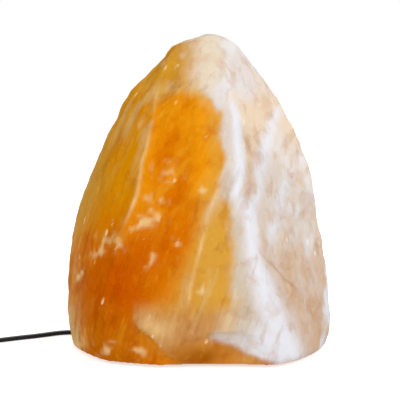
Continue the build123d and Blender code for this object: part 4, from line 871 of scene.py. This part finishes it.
# The name, colour, tint, roughness, its spread, grain scale, relief in tenths of a millimetre, metal, worn
# colour, coat and specular of each finish, and the nodes that get it.
finishes = (
    ("springSteel", (150, 152, 156), (126, 128, 133), 0.34, 0.07, 1500, 0.3, 1.0, (196, 198, 202), 0.0, 0.5,
     "spring_bracket plunger_spring"),
    ("zincPlate", (188, 190, 193), (164, 165, 168), 0.30, 0.06, 1800, 0.2, 1.0, (214, 215, 217), 0.0, 0.5,
     "terminal_screws gland_screw switch_terminal_screws switch_housing_screws clamp_screws cord_clamps nipple"),
    ("mouldedBlack", (13, 13, 14), (21, 21, 22), 0.40, 0.06, 1900, 0.6, 0.0, (42, 41, 40), 0.0, 0.3,
     "holder_shell holder_cap nipple_nut cord_gland"),
    ("switchShell", (11, 11, 12), (19, 19, 20), 0.36, 0.05, 2300, 0.5, 0.0, (40, 39, 38), 0.0, 0.3,
     "switch_upper_shell switch_lower_shell"),
    ("rockerGloss", (14, 14, 15), (20, 20, 20), 0.22, 0.05, 1400, 0.2, 0.0, (40, 39, 38), 0.25, 0.5,
     "switch_rocker"),
    ("plugBlack", (12, 12, 12), (21, 20, 20), 0.50, 0.06, 2100, 0.8, 0.0, (46, 44, 42), 0.0, 0.28, "plug_body"),
    ("softBlack", (14, 14, 14), (23, 22, 22), 0.62, 0.06, 2600, 0.7, 0.0, (48, 46, 44), 0.0, 0.25,
     "plug_strain_relief plug_pin_sleeves"),
    ("glazedCeramic", (233, 229, 219), (220, 213, 199), 0.24, 0.07, 900, 0.4, 0.0, None, 0.35, 0.5, "holder_core"),
    ("stampedBrass", (204, 164, 88), (180, 136, 66), 0.30, 0.07, 1400, 0.3, 1.0, (226, 198, 132), 0.0, 0.5,
     "centre_contact side_contact terminal_blocks switch_seesaw switch_contacts switch_terminals"),
    ("nickelBrass", (212, 207, 194), (190, 184, 168), 0.20, 0.06, 1700, 0.2, 1.0, (222, 204, 158), 0.0, 0.5,
     "plug_pins"),
    ("capMetal", (190, 191, 192), (166, 168, 170), 0.32, 0.08, 1300, 0.3, 1.0, (212, 213, 214), 0.0, 0.5, ""),
    ("blackGlass", (14, 12, 20), (24, 20, 30), 0.12, 0.05, 700, 0.3, 0.0, None, 0.4, 0.5, "bulb_insulator"),
    ("solder", (168, 169, 172), (140, 141, 145), 0.42, 0.08, 1100, 0.6, 1.0, None, 0.0, 0.5, "bulb_tip"),
    ("leadWire", (176, 168, 156), (150, 142, 130), 0.34, 0.06, 1600, 0.2, 1.0, None, 0.0, 0.5, "bulb_lead_wires"),
    ("whiteNylon", (232, 230, 222), (220, 216, 204), 0.42, 0.06, 1500, 0.3, 0.0, None, 0.0, 0.45,
     "rocker_plunger"),
)
finishMaterials = {}
for finishName, *look, nodeNames in finishes:
    finishMaterials[finishName] = dressedMaterial(finishName, *look)
    dressNodes(finishMaterials[finishName], *nodeNames.split())


# Grey felt: matted fibres as crossed stretched noise, with sheen.
def feltMaterial():
    material, graph, shader = newMaterial("greyFelt")
    place = graph.objectPlace()
    lengthways = graph.noise(graph.mapped(place, (300.0, 1900.0, 1900.0), (0.0, 0.0, 0.5)), 1.0, 3.0, 0.6)
    crossways = graph.noise(graph.mapped(place, (1900.0, 300.0, 1900.0), (0.0, 0.0, 0.2)), 1.0, 3.0, 0.6)
    fibres = graph.math("MAXIMUM", lengthways, crossways)
    color = graph.mix(graph.span(fibres, 0.4, 0.75), (92, 90, 86), (150, 146, 138))
    graph.feed("Base Color", color)
    graph.feed("Roughness", graph.span(fibres, 0.3, 0.8, (0.96, 0.82)))
    graph.feed("Normal", graph.bump(fibres, 0.8, 0.0004))
    shader.inputs["Sheen Weight"].default_value = 0.5
    shader.inputs["Specular IOR Level"].default_value = 0.15
    return material


# Insulated cores: blue on one side of a plane through the housing, brown on the other.
def coreMaterial(name, direction, offset):
    material, graph, _ = newMaterial(name)
    x, y, _ = graph.add("SeparateXYZ", {0: graph.objectPlace()}).outputs
    reach = graph.plus(graph.times(x, direction[0]), graph.times(y, direction[1]))
    side = graph.math("GREATER_THAN", reach, offset)
    grain = graph.grain(1700.0)
    brown = graph.mix(grain["Mottle"], (96, 56, 34), (80, 44, 26))
    blue = graph.mix(grain["Mottle"], (46, 84, 150), (36, 70, 130))
    graph.feed("Base Color", graph.mix(side, brown, blue))
    graph.feed("Roughness", graph.span(grain["Mottle"], 0.3, 0.7, (0.36, 0.5)))
    graph.feed("Normal", graph.bump(grain["Height"], 0.3, 0.00003))
    return material


# Thin clear glass: see-through face on, denser and greyer towards its outline.
def glassMaterial(name, clear, edge):
    material, graph, shader = newMaterial(name)
    facing = graph.add("LayerWeight", {"Blend": 0.35}).outputs["Facing"]
    mottle = graph.grain(300.0)["Mottle"]
    body = graph.mix(mottle, (238, 243, 244), (224, 232, 234))
    graph.feed("Base Color", graph.mix(graph.span(facing, 0.3, 0.95), body, (120, 130, 134)))
    graph.feed("Alpha", graph.span(facing, 0.05, 0.95, (clear, edge)))
    graph.feed("Roughness", graph.span(mottle, 0.3, 0.7, (0.03, 0.09)))
    shader.inputs["Specular IOR Level"].default_value = 0.7
    return material


# Glowing tungsten, hottest at the middle of the coil.
def filamentMaterial():
    material, graph, shader = newMaterial("glowingTungsten")
    heat = graph.noise(graph.objectPlace(), 900.0, 2.0)
    graph.feed("Base Color", graph.mix(heat, (255, 190, 110), (255, 160, 70)))
    graph.feed("Emission Color", graph.mix(heat, (255, 158, 60), (255, 140, 44)))
    shader.inputs["Emission Strength"].default_value = 3.2
    graph.feed("Roughness", graph.span(heat, 0.3, 0.7, (0.4, 0.6)))
    return material


# The felt feet's own mesh. Each point sinks below the pad's skin by depth * (1 + noise) / 2.
feltSettings = {"voxel": 0.0004, "depth": 0.00016, "cell": 0.0011, "seed": 61}


def feltMesh(settings):
    mesh = remeshed("felt_feet", "felt_pads", settings["voxel"])
    places = meshArray(mesh, "place")
    fuzz = layeredNoise(places, settings["cell"], settings["seed"], 2, 0.6)
    sink = settings["depth"] * np.clip((1.0 + fuzz) / 2, 0.0, 1.0)
    places = np.clip(places - meshArray(mesh, "normal") * sink[:, None], *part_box("felt_feet"))
    mesh.vertices.foreach_set("co", places.astype(np.float32).ravel())
    return finished(mesh)


addPiece("felt_pads", feltMesh(feltSettings), feltMaterial(), "crystal", "felt", "felt_feet")
dressNodes(coreMaterial("holderCores", holderAcross, 0.0), "holder_leads")
# The switch's middle, and the level direction across it.
switchMiddle = (-0.211, -0.019)
switchTurn = math.radians(296.0)
switchSide = (math.cos(switchTurn), math.sin(switchTurn))
switchOffset = switchMiddle[0] * switchSide[0] + switchMiddle[1] * switchSide[1]
dressNodes(coreMaterial("switchCores", switchSide, switchOffset), "switch_cores")
dressNodes(glassMaterial("clearGlass", 0.07, 0.6), "bulb_glass")
dressNodes(glassMaterial("stemGlass", 0.25, 0.7), "bulb_stem")

# The filament: a fine coil drawn in a shallow bow between the two lead wires.
filamentSettings = {"turns": 26, "coilRadius": 0.00028, "wireRadius": 0.00009, "steps": 18, "sides": 6,
                    "clear": 0.0004}


# A helix about a line bowed as rise * sin(pi t), swept as a thin round wire, between the node's two ends.
def filamentMesh(settings):
    low, high = np.array(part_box("filament"))
    middle, reach = (low + high) / 2, (high - low) / 2
    way = np.array((0.0, 1.0, 0.0)) if reach[1] > reach[0] else np.array((1.0, 0.0, 0.0))
    span = float(max(reach[0], reach[1])) - settings["clear"]
    share = np.linspace(0.0, 1.0, settings["turns"] * settings["steps"] + 1)
    rise = float(reach[2]) - settings["coilRadius"] - settings["wireRadius"]
    base = middle + way * ((share * 2 - 1) * span)[:, None]
    base[:, 2] += rise * (2 * np.sin(math.pi * share) - 1.0)
    turn = 2 * math.pi * settings["turns"] * share
    side = np.cross(way, (0.0, 0.0, 1.0))
    line = base + settings["coilRadius"] * (np.cos(turn)[:, None] * side + np.sin(turn)[:, None] * (0.0, 0.0, 1.0))
    angles = np.linspace(0.0, 2 * math.pi, settings["sides"], endpoint=False)
    outline = settings["wireRadius"] * np.column_stack((np.cos(angles), np.sin(angles)))
    return sweptMesh("glowing_filament", line, outline, side)


addPiece("glowing_filament", filamentMesh(filamentSettings), filamentMaterial(), "bulb", "tungsten", "filament")

# The bulb's cap and the sleeve that takes it, in millimetres: (radius, height) corners from the node's foot,
# and the heights between which the thread runs. The sleeve's thread is so shallow that the cap turns freely.
threadSettings = {"pitch": 2.82, "steps": 72, "row": 0.35, "fade": 0.4}
threadedParts = {
    "screw_cap": {"node": "bulb_cap", "body": "bulb", "slot": "cap_metal", "finish": "capMetal", "depth": 0.4,
                  "thread": (1.8, 11.4),
                  "profile": ((4.8, 0.0), (6.15, 0.0), (6.95, 1.2), (6.95, 14.0), (7.5, 16.0), (7.5, 17.0),
                              (7.1, 17.0), (7.1, 16.0), (6.55, 14.0), (6.55, 1.6), (5.95, 0.4), (4.8, 0.4))},
    "screw_sleeve": {"node": "thread_sleeve", "body": "cord_set", "slot": "brass", "finish": "stampedBrass",
                     "depth": 0.2, "thread": (2.6, 19.4),
                     "profile": ((7.7, 0.0), (7.7, 20.0), (7.2, 20.0), (7.2, 0.0))},
}


# A closed profile turned about +Z, with a rolled thread in its wall:
# radius = profile - depth * (1 - cos(2 pi z / pitch - angle)) / 2, eased out over the thread's two ends.
def threadedMesh(name, settings):
    corners = np.array(settings["profile"] + settings["profile"][:1])
    reach = np.linalg.norm(np.diff(corners, axis=0), axis=1)
    counts = np.ceil(reach / threadSettings["row"]).astype(int)
    rows = np.concatenate([np.linspace(a, b, count, endpoint=False)
                           for a, b, count in zip(corners[:-1], corners[1:], counts)])
    radius, height = rows[:, :1], rows[:, 1:]
    angle = np.linspace(0.0, 2 * math.pi, threadSettings["steps"], endpoint=False)[None, :]
    (low, high), fade = settings["thread"], threadSettings["fade"]
    ease = within(height, low - fade, low + fade, high - fade, high + fade)
    wave = (1.0 - np.cos(2 * math.pi * height / threadSettings["pitch"] - angle)) / 2
    radius = (radius - settings["depth"] * ease * wave) / 1000
    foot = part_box(settings["node"])[0][2]
    places = np.stack((radius * np.cos(angle), radius * np.sin(angle), foot + height / 1000 + 0 * angle), axis=-1)
    return gridMesh(name, places, ring=True)


for partName, partSettings in threadedParts.items():
    addPiece(partName, threadedMesh(partName, partSettings), finishMaterials[partSettings["finish"]],
             partSettings["body"], partSettings["slot"], partSettings["node"])
print("parts dressed")

# The table

floorSettings = {"size": 6.0, "color": (244, 244, 244), "lift": 0.62, "level": -0.0001}


# A plain pale surface that the camera and reflections see as white, with the object's shadow kept.
def floorMaterial(settings):
    material, graph, shader = newMaterial("tableTop")
    shader.inputs["Base Color"].default_value = linear(settings["color"])
    shader.inputs["Roughness"].default_value = 0.9
    shader.inputs["Specular IOR Level"].default_value = 0.0
    shader.inputs["Emission Color"].default_value = (1.0, 1.0, 1.0, 1.0)
    graph.feed("Emission Strength", graph.times(graph.seenByEye(), settings["lift"]))
    return material


floorMesh = bpy.data.meshes.new("table_top")
half, level = floorSettings["size"] / 2, floorSettings["level"]
floorMesh.from_pydata([(-half, -half, level), (half, -half, level), (half, half, level), (-half, half, level)], [],
                      [(0, 1, 2, 3)])
floorMesh.materials.append(floorMaterial(floorSettings))
placed("table_top", floorMesh)

# White surroundings for the eye, which light the lamp with a dimmer and cooler white.
worldSettings = {"color": (0.96, 0.98, 1.0, 1.0), "strength": 0.48}
world = bpy.data.worlds.new("surroundings")
world.use_nodes = True
scene.world = world
worldGraph = Graph(world.node_tree)
world.node_tree.nodes.clear()
worldLight = worldGraph.add("Background", {"Color": worldSettings["color"],
                                           "Strength": worldSettings["strength"]}).outputs[0]
worldWhite = worldGraph.add("Background", {"Color": (1.0, 1.0, 1.0, 1.0), "Strength": 1.0}).outputs[0]
worldMix = worldGraph.add("MixShader", {0: worldGraph.seenByEye(), 1: worldLight, 2: worldWhite})
worldGraph.add("OutputWorld", {"Surface": worldMix.outputs[0]})

scene.view_settings.view_transform = "Standard"
print("stage set")
